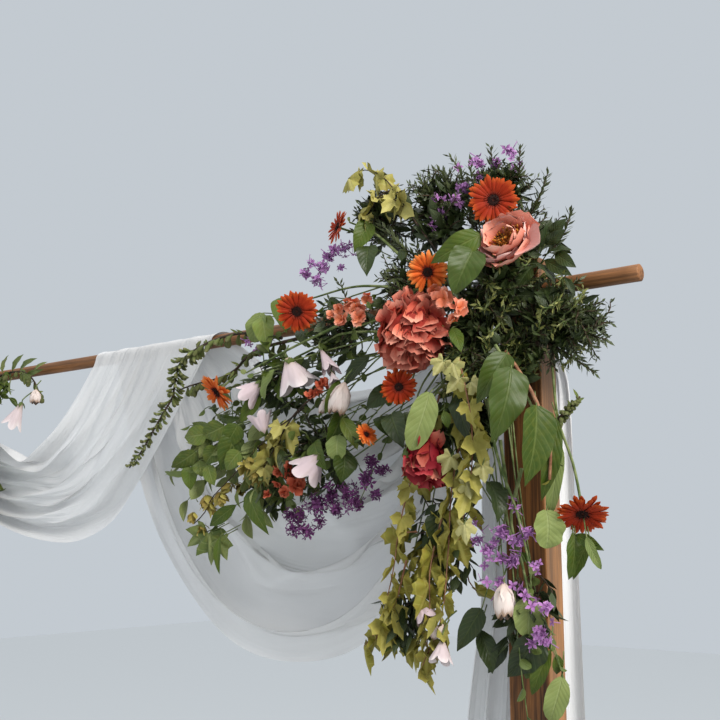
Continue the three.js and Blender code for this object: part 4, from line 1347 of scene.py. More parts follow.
# Single leaves: foot, tip, width and kind
SINGLE_LEAVES = [
    (1250, -180, 2278, 1148, -205, 2232, 52, "fresh"), (1240, -190, 2248, 1205, -212, 2155, 72, "mid"),
    (1195, -195, 2220, 1215, -210, 2150, 26, "deep"), (920, -110, 2385, 895, -130, 2315, 46, "fresh"),
    (920, -110, 2330, 930, -130, 2255, 48, "deep"), (598, -110, 2222, 585, -120, 2150, 56, "pale"),
    (606, -115, 2212, 640, -130, 2122, 54, "lit"), (655, -110, 2250, 692, -125, 2160, 44, "fresh"),
    (720, -110, 2170, 750, -125, 2120, 32, "deep"), (681, -152, 2072, 656, -158, 2006, 36, "pale"),
    (520, -150, 1954, 448, -150, 1935, 52, "lit"), (462, -150, 1939, 387, -152, 1934, 50, "lit"),
    (425, -150, 1898, 343, -152, 1865, 46, "lit"), (427, -150, 1852, 320, -152, 1854, 18, "pale"),
    (408, -150, 1862, 412, -152, 1806, 42, "fresh"), (437, -150, 1876, 449, -150, 1838, 36, "lit"),
    (468, -150, 1866, 492, -150, 1815, 36, "lit"), (497, -150, 1906, 462, -152, 1868, 46, "lit"),
    (554, -145, 1934, 511, -148, 1850, 62, "fresh"), (573, -150, 1891, 529, -150, 1849, 42, "lit"),
    (494, -140, 1979, 561, -140, 1970, 26, "mid"), (565, -150, 1954, 527, -152, 1902, 50, "fresh"),
    (879, -165, 1909, 883, -170, 1856, 48, "pale"), (886, -160, 1947, 929, -162, 1876, 36, "lit"),
    (892, -160, 1868, 887, -165, 1808, 54, "mid"), (978, -150, 1943, 1022, -152, 1886, 50, "mid"),
    (870, -150, 2030, 845, -170, 1955, 30, "fresh"), (755, -110, 2095, 755, -130, 2030, 42, "deep"),
    (1140, -200, 1975, 1105, -215, 1865, 56, "pale"), (1020, -165, 1945, 1065, -185, 1870, 50, "deep"),
    (1295, -165, 2040, 1240, -190, 1945, 54, "mid"), (1315, -185, 2008, 1280, -205, 1868, 78, "mid"),
    (1358, -170, 1935, 1332, -175, 1790, 76, "fresh"), (1375, -125, 1915, 1340, -130, 1760, 36, "fresh"),
    (1345, -120, 1745, 1345, -125, 1675, 60, "pale"), (1368, -98, 1862, 1345, -104, 1738, 28, "pale"),
    (1315, -110, 1515, 1255, -120, 1440, 68, "deep"), (1330, -90, 1490, 1290, -95, 1405, 32, "fresh"),
    (1342, -72, 1440, 1318, -80, 1360, 44, "pale"), (1305, -125, 1585, 1305, -130, 1515, 58, "pale"),
    (1385, -95, 1705, 1378, -105, 1618, 38, "fresh"), (1390, -95, 1700, 1450, -105, 1672, 24, "fresh"),
    (1415, -88, 1690, 1385, -98, 1620, 30, "fresh"), (1420, -110, 1695, 1448, -115, 1640, 18, "pale"),
    (1120, -150, 1740, 1125, -155, 1670, 54, "deep"), (1335, -95, 2258, 1360, -95, 2312, 25, "deep"),
    (1345, -95, 2262, 1390, -95, 2284, 24, "deep"), (1350, -95, 2243, 1402, -95, 2240, 25, "deep"),
    (1368, -96, 2240, 1412, -96, 2204, 27, "deep"), (1345, -98, 2230, 1402, -98, 2190, 27, "deep"),
    (1320, -104, 2226, 1368, -100, 2176, 28, "deep"), (1385, -92, 2190, 1404, -90, 2150, 14, "deep"),
    (1325, -110, 2218, 1296, -120, 2178, 38, "deep"), (1352, -92, 2278, 1392, -92, 2306, 24, "deep"),
    (1180, -150, 1980, 1210, -165, 1870, 46, "deep"), (810, -110, 2230, 845, -115, 2168, 34, "deep"),
    (1175, -170, 2105, 1205, -185, 2050, 28, "fresh"),
    (1240, -95, 1510, 1200, -100, 1440, 30, "deep"), (1200, -120, 1560, 1150, -130, 1480, 44, "deep"),
    (1185, -105, 1520, 1215, -110, 1440, 40, "deep"), (880, -150, 1960, 845, -165, 1885, 44, "fresh"),
    (800, -150, 1900, 845, -160, 1835, 42, "fresh"), (905, -140, 1930, 940, -155, 1880, 34, "deep"),
    (700, -150, 1890, 730, -160, 1820, 30, "deep"), (455, -130, 1705, 470, -140, 1635, 0, "maple"),
    (440, -130, 1705, 388, -138, 1672, 0, "maple"), (485, -130, 1690, 515, -138, 1648, 0, "maple"),
    (495, -130, 1700, 500, -135, 1612, 22, "fresh"), (590, -135, 1800, 660, -140, 1700, 46, "fresh"),
    (545, -130, 1770, 470, -140, 1722, 34, "fresh"), (1240, -150, 1800, 1265, -165, 1720, 50, "deep"),
    (1010, -150, 2010, 960, -170, 1960, 40, "deep"), (930, -120, 2080, 880, -140, 2020, 40, "deep"),
    (690, -140, 2060, 720, -160, 1990, 44, "fresh"), (620, -130, 2030, 570, -145, 1960, 36, "fresh"),
]


def long_stems(table, side):
    kept = [[point for point in row if side > 0 or point[0] > LEFT_STEMS_FROM] for row in table]
    return [spread_along(as_mm(row, side), 16)[0] for row in kept if len(row) > 1]


def make_trails(look):
    """Trailing stems, single leaves and the seed spikes."""
    leaves = make_leaves()
    for word, side in SIDES:
        seed = seed_of(look, side, 9)
        rng = np.random.default_rng(seed)
        parts = [leafy(name, long_stems(table, side), leaves, seed) for name, table in TRAILS.items()]
        parts.append(hop_bines(rng, long_stems(HOP_STEMS, side)))
        fit(merged(f"trailing_stems_{word}", parts), "trailing_leaves")
        fit(single_leaves(word, side, rng), "leaves")
        fit(seed_spike(word, side, seed), "seed_heads", f"seed_spike_{word}")


def hop_bines(rng, paths):
    """Papery cones, each of overlapping scales, along the hop stems."""
    sheaf = Sheaf()
    for path in paths:
        sheaf.tube(path, 0.0014, slot=1, sides=5)
        for k in range(4, len(path), 2):
            for _ in range(2):
                top = path[k] + rng.normal(0, 0.014, 3)
                axis = unit(TO_GROUND + rng.normal(0, 0.4, 3))
                size = rng.uniform(0.8, 1.35)
                for ring, scale in np.ndindex(3, 3):
                    angle = scale * 2.1 + ring * 1.1 + rng.uniform(-0.4, 0.4)
                    out = placing(axis, outward(angle, 0.1))[:, 2]
                    base = top + axis * ring * 0.006 * size + out * 0.002
                    way = axis + out * rng.uniform(0.3, 1.2) * (1.0 - 0.25 * ring) + rng.normal(0, 0.2, 3)
                    sheaf.blade(base, placing(way, out), 0, rng.uniform(), length=0.024 * size,
                        width=0.019 * size, rows=4, cols=2, curl=-0.5, cup=-0.4, fold=0.15)
    return sheaf.make("hop_bines", ["hop", "stem_dark"])


def single_leaves(word, side, rng):
    sheaf = Sheaf()
    finishes = {"fresh": "leaf_fresh", "deep": "leaf_deep", "pale": "leaf_pale", "maple": "leaf_soft",
        "cream": "leaf_cream", "stalk": "stem_green", "mid": "leaf_mid", "lit": "leaf_lit"}
    slots = {kind: slot for slot, kind in enumerate(finishes)}
    table = SINGLE_LEAVES + [(*row, "cream") for row in CREAM_LEAVES]
    table = [row for row in table if side > 0 or row[0] > LEFT_LEAVES_FROM]
    for *ends, width, kind in table:
        base, tip = np.array(ends, float).reshape(2, 3)
        if side < 0:
            base, tip = base + rng.normal(0, 5, 3), tip + rng.normal(0, 9, 3)
        base, tip = base * MM, tip * MM
        length = np.linalg.norm(tip - base)
        turn = placing(tip - base, LOOKING + rng.normal(0, 0.28, 3))
        tint = rng.uniform(0.1, 0.9)
        if kind in ("maple", "cream"):
            sheaf.blade(base, turn, slots[kind], tint, rng, length=length * 1.05,
                lobes=5 if kind == "maple" else 4, rows=4, cols=24, depth=0.45, narrow=0.85, teeth=0.05,
                curl=(0.2, 0.6), fold=(0.1, 0.25), phase=(0, 6))
        else:
            outline = "round" if kind == "pale" else "heart" if width > 40 else "oval"
            sheaf.blade(base, turn, slots[kind], tint, rng, length=length * 1.04, width=width * MM,
                outline=outline, rows=12, cols=6, curl=(-0.5, -1.1), fold=(0.1, 0.4), wave=(0.06, 0.18),
                waves=(1.5, 3.5), phase=(0, 6))
        back = unit(TIED_AT * MM - base)
        stalk = np.array([tip * 0.02 + base * 0.98, base, base + (back + np.array([0, 0.6, 0])) * 0.045])
        sheaf.tube(spread_along(stalk, 6)[0], 0.0013, slots["stalk"], sides=5)
    return sheaf.make(f"single_leaves_{word}", finishes.values(), flip=side < 0)


def seed_spike(word, side, seed):
    """A long spike: loose hanging pods near its foot, then close-set capsules to the tip."""
    rng = np.random.default_rng(seed + 30)
    sheaf = Sheaf()
    for points, count, close_from, longest in (*SPIKES[word], (SMALL_SPIKE, 24, 0.0, 17)):
        path = spread_along(as_mm(points), count)[0]
        sheaf.tube(path, np.linspace(0.0045, 0.0018, count), slot=1)
        for k in range(4, count - 1):
            share = k / count
            ahead = unit(path[k + 1] - path[k])
            close = share > close_from
            for _ in range(int(rng.uniform(2.4, 4.6)) if close else int(rng.uniform() < 0.5)):
                spread = placing(ahead, rng.normal(0, 1, 3))[:, 2]
                if close:
                    way = unit(spread + 0.55 * TO_GROUND - 0.2 * ahead)
                    length = rng.uniform(0.7, 1.2) * longest * MM * (1 - 0.76 * share)
                    radius = 0.0064 - 0.003 * share
                else:
                    way = unit(TO_GROUND + 0.6 * spread + 0.3 * ahead)
                    length, radius = rng.uniform(0.018, 0.036), rng.uniform(0.0058, 0.0085)
                base = path[k] + spread * 0.002
                bow = base + way * length * np.array([0, 0.3, 0.62, 0.88, 1.05])[:, None]
                bow = bow + ahead * length * 0.22 * np.array([0, 0.5, 1.0, 0.8, 0.4])[:, None]
                sheaf.tube(bow, np.array([0.2, 0.55, 1.0, 0.85, 0.15]) * radius, 0, rng.uniform(), sides=6)
            if rng.uniform() < 0.25:
                spread = placing(ahead, rng.normal(0, 1, 3))[:, 2]
                sheaf.blade(path[k], placing(unit(spread + 0.4 * ahead), LOOKING), 2, rng.uniform(),
                    length=rng.uniform(0.014, 0.03), width=0.006, outline="lance", rows=4, cols=2,
                    curl=-0.6)
    return sheaf.make(f"spike_{word}", ["pod", "stem_dark", "leaf_soft"], flip=side < 0)


# Gerberas: centre, the way they face, radius and finish
GERBERAS = {
    "top": ((1252, -130, 2362), (0.5, -0.84, -0.12), 51, "gerbera_ray"),
    "upper": ((1132, -190, 2221), (0.42, -0.85, -0.3), 43, "gerbera_light"),
    "side": ((754, -160, 2196), (0.5, -0.8, -0.35), 48, "gerbera_ray"),
    "middle": ((1057, -190, 1995), (0.7, -0.6, -0.35), 38, "gerbera_ray"),
    "sweep": ((484, -140, 2040), (-0.26, -0.72, -0.60), 50, "gerbera_light"),
    "low": ((1403, -90, 1739), (0.3, -0.57, -0.76), 48, "gerbera_ray"),
}
# Rings of rays: how many, radius and height as shares of the flower's radius, tilt and size
RAY_RINGS = [(26, 0.19, 0.015, 0.02, 1.0), (24, 0.19, 0.04, 0.16, 0.94), (24, 0.2, 0.06, 0.42, 0.22)]
EYE_FLORETS = 60
SWEEP_GERBERA_LEFT = (585, -125, 2095)  # its centre on the left
LOW_STEM = [(1400, -84, 1748), (1383, -80, 1830), (1352, -76, 1920), (1335, -60, 2025)]
SMALL_GERBERAS = [((835, -112, 2388), (-0.45, -0.85, 0.25), 40), ((960, -172, 1905), (0.9, -0.2, 0.4), 26)]


def gerbera_head(name, radius, seed, finish, stem, loose=0.16):
    """Two rings of rays and a short inner one round a dark eye, on a stem along the given path."""
    rng = np.random.default_rng(seed)
    sheaf = Sheaf()
    profile = [(0.0001, -0.14), (0.12, -0.14), (0.19, -0.06), (0.24, 0.0), (0.25, 0.045), (0.18, 0.08),
        (0.08, 0.065), (0.0001, 0.05)]
    cup = lathe(profile, 20) * radius
    sheaf.grid(cup[:4], 1, 0.4, closed=True)
    sheaf.grid(cup[3:], 0, 0.2, closed=True)
    for _ in range(EYE_FLORETS):
        angle, far = rng.uniform(0, TAU), radius * 0.25 * rng.uniform(0.02, 1) ** 0.6
        base = outward(angle, radius * 0.045, far)
        top = base * np.array([1.08, 1.08, 1]) + np.array([0, 0, radius * rng.uniform(0.04, 0.09)])
        sheaf.tube(np.array([base, top]), radius * 0.018, 0, rng.uniform(), sides=4)
    sheaf.tube(stem, 0.0028, 2)
    head = sheaf.make(name, ["gerbera_eye", "stem_green", "stem_green"])
    long_ray = template(f"ray_{round(radius * 1000)}", length=radius * 0.84, width=radius * 0.215,
        outline="ray", rows=6, curl=-0.5, start=0.26, cup=-0.35, wave=0.08)
    for number, (count, ring, height, tilt, size) in enumerate(RAY_RINGS):
        grow(head, "petal_ring", Petal=long_ray, Count=count, Height=height * radius, Tilt=tilt,
            Size=size, Scatter=loose, Seed=seed + number, Finish=finish_named(finish if number < 2
            else "gerbera_dark_ray"), **{"Ring radius": ring * radius})
    return settled(head)


def facing_turn(facing):
    """Rotation that turns +Z to the given way."""
    return Vector(facing).to_track_quat("Z", "Y").to_matrix()


def set_in_place(obj, centre, facing, side):
    """Moves a flower made round Z to its centre on that side, so that it faces the given way."""
    turn = facing_turn(np.array(facing) * (side, 1, 1)).to_4x4()
    obj.data.transform(Matrix.Translation(Vector(as_mm(centre, side))) @ turn)
    obj.data.update()


def make_gerberas(look):
    for word, side in SIDES:
        for number, (key, (centre, facing, radius, finish)) in enumerate(GERBERAS.items()):
            if key == "sweep" and side < 0:
                centre = SWEEP_GERBERA_LEFT
            if key == "low":
                path = spread_along(as_mm(LOW_STEM, side), 14)[0]
                back, at = facing_turn(np.array(facing) * (side, 1, 1)).inverted(), as_mm(centre, side)
                local = np.array([tuple(back @ (Vector(p) - Vector(at))) for p in path])
                stem = np.vstack([[0, 0, -0.006], local[1:]])
            else:
                stem = np.array([(0, 0, -0.005), (0, 0.002, -0.03), (0, 0.004, -0.068)])
            loose = 0.34 if key == "upper" else 0.18
            head = gerbera_head(f"gerbera_head_{key}_{word}", radius * MM, look.seed + 10 * number + side,
                finish, stem, loose)
            set_in_place(head, centre, facing, side)
            fit(head, "gerbera_petals", f"gerbera_{key}_{word}")
        for number, (centre, facing, radius) in enumerate(SMALL_GERBERAS):
            stem = np.array([(0, 0, -0.004), (0, 0.002, -0.03), (0, 0.004, -0.06)])
            head = gerbera_head(f"gerbera_small_{number + 1}_{word}", radius * MM, look.seed + 80 + number,
                "gerbera_light" if number else "gerbera_ray", stem)
            set_in_place(head, centre, facing, side)
            fit(head, "gerbera_petals")


# Peonies: centre, radius and the way they face
PEONIES = {
    "big": ((1090, -185, 2106), 92, (0.35, -0.92, -0.05)),
    "top": ((1293, -150, 2262), 68, (0.02, -0.90, 0.36)),
    "low": ((1109, -170, 1849), 58, (0.45, -0.85, -0.1)),
}
STAMENS = 150
DOUBLE_PETALS = {"big": (130, 0.56), "low": (44, 0.85)}  # how many, and their size
PEONY_FINISHES = {
    "big": ("peony_coral", "peony_salmon", "stamen", "stem_green", "peony_blush"),
    "top": ("peony_light", "peony_blush", "stamen", "stem_green", "peony_blush"),
    "low": ("peony_red", "peony_coral", "stamen", "stem_green", "peony_salmon"),
}


def open_peony(sheaf, radius, rng):
    """A wide cup of ruffled petals round a boss of stamens, facing +Z."""
    # petals, length, width, lean, height of their foot, curl and slot of each layer
    layers = [(5, 1.15, 1.25, 1.05, -0.42, 0.9, 0), (6, 1.15, 1.15, 0.88, -0.42, 0.9, 1),
        (5, 1.08, 1.1, 0.7, -0.4, 0.8, 0), (5, 0.92, 0.9, 0.55, -0.38, 0.7, 0)]
    for count, length, width, tilt, height, curl, slot in layers:
        for k in range(count):
            angle = TAU * (k + rng.uniform(-0.25, 0.25)) / count + height * 9
            lean = tilt + rng.uniform(-0.12, 0.12)
            out = outward(angle)
            ahead, face = leaning(out, lean)
            base = out * radius * 0.06 + np.array([0, 0, height * radius])
            size = rng.uniform(0.85, 1.12)
            sheaf.blade(base, placing(ahead, face + rng.normal(0, 0.1, 3)), slot, rng.uniform(), rng,
                length=length * radius * size, width=width * radius * size, outline="petal", cols=8,
                curl=(curl - 0.2, curl + 0.2), start=-0.25 * curl, cup=(0.3, 0.6), wave=(0.1, 0.24),
                waves=(1.5, 3), phase=(0, 6), notch=(0.02, 0.06), late=1.4)
    for _ in range(STAMENS):
        angle, far = rng.uniform(0, TAU), radius * 0.44 * math.sqrt(rng.uniform())
        foot = outward(angle, -0.35 * radius, far * 0.4)
        head = outward(angle, radius * rng.uniform(0.02, 0.3), far * 1.25)
        sheaf.tube(np.array([foot, 0.5 * (foot + head), head]), 0.0007, 2, rng.uniform(), sides=4)
        sheaf.tube(np.array([head, head + unit(head - foot) * 0.004]), 0.0016, 2, rng.uniform(), sides=5)


def full_peony(sheaf, radius, rng, to_sky, count, size):
    """A double flower seen from outside, facing +Z: its petals lie like scales and hang from its crown."""
    sheaf.grid(ball(14, 8) * radius * 0.5, 0, 0.95, closed=True)
    for k in range(count):
        height = 1 - 1.5 * (k + 0.5) / count
        ring = math.sqrt(max(0.0, 1 - height**2))
        angle = k * GOLDEN_ANGLE + rng.uniform(-0.3, 0.3)
        out = unit(outward(angle, height, ring) + rng.normal(0, 0.07, 3))
        up = float(out @ to_sky)
        if up > 0.5:
            ahead = unit(0.7 * out + 0.65 * to_sky + rng.normal(0, 0.25, 3))
        else:
            ahead = unit(0.42 * out - 0.9 * to_sky + rng.normal(0, 0.28, 3))
        length = radius * size * rng.uniform(0.75, 1.2)
        base = out * radius * rng.uniform(0.52, 0.74) - ahead * length * 0.45
        slot = 1 if rng.uniform() < 0.3 else 0
        sheaf.blade(base, placing(ahead, out + rng.normal(0, 0.2, 3)), slot, rng.uniform(), rng,
            length=length, width=(radius * size * 0.7, radius * size * 1.1), outline="petal", rows=6,
            cols=6, curl=(-0.2, 0.9), start=-0.15, cup=(-0.35, 0.25), wave=(0.12, 0.32), waves=(1.2, 2.6),
            phase=(0, 6), notch=(0.03, 0.08), late=1.6)


def peony(name, key, radius, seed, flip, facing):
    rng = np.random.default_rng(seed)
    sheaf = Sheaf()
    turned = facing_turn(facing).inverted()
    to_sky = unit(tuple(turned @ Vector((0, 0, 1))))
    if key == "top":
        open_peony(sheaf, radius, rng)
        side_out = unit(tuple(turned @ Vector((0.95, -0.3, -0.3))))
        sheaf.blade(side_out * radius * 0.75, placing(side_out + np.array([0, 0, 0.2]), (0, 0, 1)), 4, 0.9,
            length=radius * 0.85, width=radius * 1.15, outline="round", rows=10, cols=8, curl=0.5, cup=0.5)
    elif key == "big":
        full_peony(sheaf, radius, rng, to_sky, *DOUBLE_PETALS[key])
    else:
        full_peony(sheaf, radius, rng, to_sky, *DOUBLE_PETALS[key])
        side_out = unit(tuple(turned @ Vector((0.8, -0.4, -0.2))))
        sheaf.blade(side_out * radius * 0.5 + to_sky * radius * 0.5,
            placing(-to_sky + 0.2 * side_out, side_out), 4, 0.3, length=radius * 1.2, width=radius * 0.75,
            outline="petal", cols=8, curl=0.6, wave=0.15, notch=0.05)
    calyx = [(0.0001, -0.6), (0.16, -0.58), (0.3, -0.45), (0.26, -0.25)]
    sheaf.grid(lathe(calyx, 12) * radius, 3, 0.4, closed=True)
    sheaf.tube(np.array([(0, 0, -0.55), (0, 0.1, -0.8), (0, 0.25, -0.95)]) * radius, 0.0035, 3)
    return sheaf.make(name, PEONY_FINISHES[key], flip=flip)


def make_peonies(look):
    for word, side in SIDES:
        for number, (key, (centre, radius, facing)) in enumerate(PEONIES.items()):
            head = peony(f"peony_head_{key}_{word}", key, radius * MM * 0.95,
                look.seed + 200 + number + side, side < 0, facing)
            set_in_place(head, centre, facing, side)
            fit(head, "peony_petals", f"peony_{key}_{word}")


# Small blossoms: centre and width of each cluster
LILAC_BRIGHT = [
    (1230, -75, 2465, 44), (1215, -70, 2430, 40), (1180, -75, 2440, 34), (1262, -75, 2480, 26),
    (1275, -75, 2450, 26), (1155, -80, 2425, 40), (1130, -85, 2395, 40), (1100, -90, 2370, 36),
    (1085, -95, 2345, 30), (790, -90, 2335, 44), (765, -90, 2315, 50), (750, -90, 2285, 40),
    (840, -95, 2340, 36), (870, -95, 2330, 26), (1265, -150, 1705, 42), (1300, -150, 1690, 44),
    (1240, -150, 1670, 36), (1285, -150, 1650, 46), (1325, -150, 1705, 34), (1335, -145, 1640, 36),
    (1260, -150, 1610, 44), (1300, -148, 1600, 40), (1325, -145, 1575, 44), (1350, -140, 1570, 34),
    (1335, -148, 1525, 46), (1350, -142, 1508, 34), (1320, -148, 1505, 34), (1370, -135, 1545, 26),
    (545, -95, 2155, 24), (580, -95, 2130, 22), (600, -100, 2160, 20), (1166, -80, 2484, 36),
    (1186, -80, 2469, 40), (1141, -80, 2470, 26), (1252, -80, 2490, 22), (1275, -80, 2466, 24),
    (1239, -80, 2476, 24), (1095, -100, 2405, 34), (1145, -100, 2395, 40), (1089, -100, 2362, 32),
    (717, -90, 2301, 36), (735, -90, 2329, 30), (805, -90, 2346, 36), (767, -90, 2274, 34),
    (826, -90, 2300, 30), (1207, -150, 1725, 26), (1221, -150, 1708, 30), (1214, -150, 1690, 28),
    (1231, -150, 1672, 30), (1246, -150, 1686, 28), (1233, -150, 1646, 26), (1264, -150, 1654, 26),
    (1225, -150, 1612, 24), (1256, -150, 1600, 28), (1292, -150, 1752, 24),
]
LILAC_DARK = [
    (745, -130, 1740, 60), (712, -130, 1745, 48), (790, -132, 1765, 60), (835, -135, 1780, 60),
    (880, -135, 1790, 60), (900, -135, 1770, 56), (930, -135, 1815, 50), (850, -135, 1755, 50),
    (935, -120, 1850, 44), (960, -120, 1835, 40), (760, -130, 1712, 50), (950, -128, 1785, 40),
    (725, -130, 1715, 40), (800, -132, 1728, 40),
]
# Bells: calyx, mouth and mouth width
BELLS = [
    (718, -150, 2094, 740, -136, 2030, 104), (639, -150, 2048, 592, -152, 2018, 66),
    (652, -150, 1924, 630, -146, 1970, 60), (828, -158, 1872, 783, -160, 1832, 88),
    (817, -150, 2103, 848, -150, 2052, 42), (849, -150, 2050, 866, -160, 2020, 30),
    (1068, -150, 1582, 1090, -141, 1537, 52), (1129, -150, 1502, 1129, -156, 1460, 52),
]
# Buds: top, bottom, width and finish
BUDS = [
    (905, -175, 2020, 885, -180, 1950, 46, "bud_pink"),
    (1268, -150, 1612, 1272, -155, 1545, 44, "bud_pink"), (1365, -75, 2192, 1384, -75, 2176, 22, "pod"),
    (1125, -140, 1530, 1105, -150, 1500, 18, "bud_pink"),
    (835, -150, 1995, 822, -155, 1960, 16, "bud_pink"), (640, -120, 2120, 600, -130, 2140, 14, "pod"),
]
# Ruffled flowers: centre and width
STOCKS = [
    (905, -155, 2200, 44), (940, -165, 2160, 46), (885, -155, 2160, 40), (965, -170, 2200, 36),
    (925, -160, 2180, 36), (1180, -205, 2158, 46), (1215, -205, 2132, 38), (850, -145, 2172, 36),
    (1200, -200, 2110, 30), (870, -150, 2190, 30), (1150, -200, 2180, 32),
]
RUSTS = [
    (690, -138, 1843, 32), (655, -140, 1788, 26), (825, -160, 2025, 36), (800, -160, 2000, 30),
    (815, -165, 2010, 28), (725, -150, 1830, 38), (755, -155, 1805, 44), (715, -150, 1795, 30),
    (740, -155, 1850, 30), (690, -145, 1815, 24),
]
# What hangs beside the left spike: its numbers are those of a bell, a bud and leaves with a width
LEFT_BELL = (-375, -100, 2085, -398, -112, 2020, 62)
LEFT_BUD = (-330, -85, 2122, -322, -92, 2078, 34)
LEFT_LEAVES = [
    (-430, -75, 2190, -330, -85, 2215, 22), (-420, -75, 2180, -345, -90, 2165, 24),
    (-470, -75, 2190, -400, -85, 2235, 22), (-520, -75, 2190, -470, -90, 2240, 24),
    (-540, -75, 2180, -500, -95, 2120, 26), (-400, -75, 2170, -300, -80, 2180, 16),
    (-460, -80, 2170, -430, -100, 2110, 24), (-360, -75, 2180, -285, -80, 2200, 14),
]


def blobs(name, table, side):
    """Round lumps that the florets are set on."""
    sheaf = Sheaf()
    for *centre, width in table:
        points = ball(8, 6) * width * 0.36 * MM * np.array([1, 0.85, 1])
        sheaf.grid(points + as_mm(centre, side), closed=True)
    return sheaf.make(name, [])


def floret(name, petals, length, width, stalk, finish):
    """One small flower on a stalk, facing +Z."""
    sheaf = Sheaf()
    for k in range(petals):
        angle = TAU * k / petals
        out = outward(angle, 0.12)
        sheaf.blade(out * 0.0008, placing(out, (0, 0, 1)), 0, 0.5, length=length, width=width,
            outline="round", rows=2, cols=2, curl=-0.5, cup=0.3)
    sheaf.tube(np.array([(0, 0, -stalk), (0, 0, 0)]), 0.0009, sides=4)
    return sheaf.make(name, [finish])


def ruffled_bloom(sheaf, centre, facing, width, slot, rng, layers):
    """A small loose flower of crinkled petals."""
    turn = placing(placing(facing, rng.normal(0, 1, 3))[:, 2], facing)
    for layer in range(layers):
        count = 5 - layer
        for k in range(count):
            angle = TAU * (k + rng.uniform(-0.3, 0.3)) / count + layer
            lean = rng.uniform(0.75, 1.5) - 0.45 * layer
            ahead, face = (turn @ way for way in leaning(outward(angle), lean))
            sheaf.blade(centre, placing(ahead, face + rng.normal(0, 0.25, 3)), slot, rng.uniform(), rng,
                length=(width * 0.42, width * 0.68), width=(width * 0.35, width * 0.55), outline="petal",
                rows=4, curl=(-1.1, 0.3), wave=0.4, waves=(1, 2.2), phase=(0, 6), notch=0.07)


def bell(sheaf, calyx, mouth, width, slot, rng):
    """A funnel flower seen from its side: five joined petals that widen to a wavy rim."""
    axis = mouth - calyx
    length = np.linalg.norm(axis)
    turn = placing(axis, rng.normal(0, 1, 3))
    around = np.linspace(0, TAU, 60, endpoint=False)[None, :]
    t = np.linspace(0, 1, 13)[:, None]
    start, skew = rng.uniform(0, 6, 2)
    flare = 0.07 + 0.43 * t**1.15
    petals = np.abs(np.cos(2.5 * around + start)) ** 0.7
    crumple = 0.06 * np.sin(3 * around + skew + 3 * t) + 0.03 * np.cos(11 * around + skew + 4 * t)
    out = width * flare * (1 - 0.34 * t**1.2 * (1 - petals) + crumple * t)
    down = length * (t + t**3 * (0.3 * (petals - 0.7) + 0.1 * np.cos(around + skew)))
    local = np.stack([out * np.cos(around), down + 0 * around, out * np.sin(around)], -1)
    sheaf.grid(local @ turn.T + calyx, slot, rng.uniform(), closed=True)
    for k in range(5):
        angle = TAU * k / 5 + rng.uniform(-0.2, 0.2)
        side = turn @ np.array([math.cos(angle), 0, math.sin(angle)])
        sheaf.blade(calyx - unit(axis) * 0.003, placing(unit(axis) + side, -side), 3, 0.5,
            length=length * 0.36, width=width * 0.15, outline="lance", rows=3, cols=2, curl=0.6)
    tail = calyx - unit(axis) * 0.03 + np.array([0, 0.02, 0.005])
    sheaf.tube(spread_along([calyx, calyx - unit(axis) * 0.012, tail], 6)[0], 0.0018, 4, sides=5)


def bud(sheaf, top, bottom, width, slot, rng):
    """A closed bud of wrapped petals, frayed at its lower end."""
    axis = bottom - top
    length = np.linalg.norm(axis)
    for k in range(7):
        angle = TAU * k / 7 + rng.uniform(-0.2, 0.2)
        turn = placing(axis, rng.normal(0, 1, 3) if k == 0 else first)
        first = turn[:, 2]
        out = turn @ np.array([math.cos(angle), 0, math.sin(angle)])
        sheaf.blade(top + out * width * 0.04, placing(axis + out * width * 0.5, -out), slot, rng.uniform(),
            length=length * rng.uniform(1.0, 1.12), width=width * 0.85, outline="round", rows=6,
            curl=1.3, start=-0.55, cup=0.55, wave=0.1, phase=rng.uniform(0, 6))
    tail = top - unit(axis) * 0.03 + np.array([0, 0.015, 0])
    sheaf.tube(spread_along([top + unit(axis) * 0.004, top - unit(axis) * 0.01, tail], 6)[0], 0.0018, 4,
        sides=5)


def make_blossoms(look):
    bright = floret("floret_bright", 4, 0.0118, 0.008, 0.018, "lilac_bright")
    dark = floret("floret_dark", 4, 0.0122, 0.0066, 0.018, "lilac_dark")
    TEMPLATES.update(floret_bright=bright, floret_dark=dark)
    for word, side in SIDES:
        seed = seed_of(look, side, 300)
        rng = np.random.default_rng(seed)
        parts = []
        for table, flower, density in ((LILAC_BRIGHT, bright, 3200), (LILAC_DARK, dark, 4600)):
            obj = blobs("lilac_lumps", table, side)
            grow(obj, "floret_cluster", Floret=flower, Density=density, Loose=0.9, Depth=0.02, Seed=seed)
            parts.append(settled(obj))
        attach(merged(f"lilac_clusters_{word}", parts), "root")
        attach(small_blossoms(word, side, rng), "root")


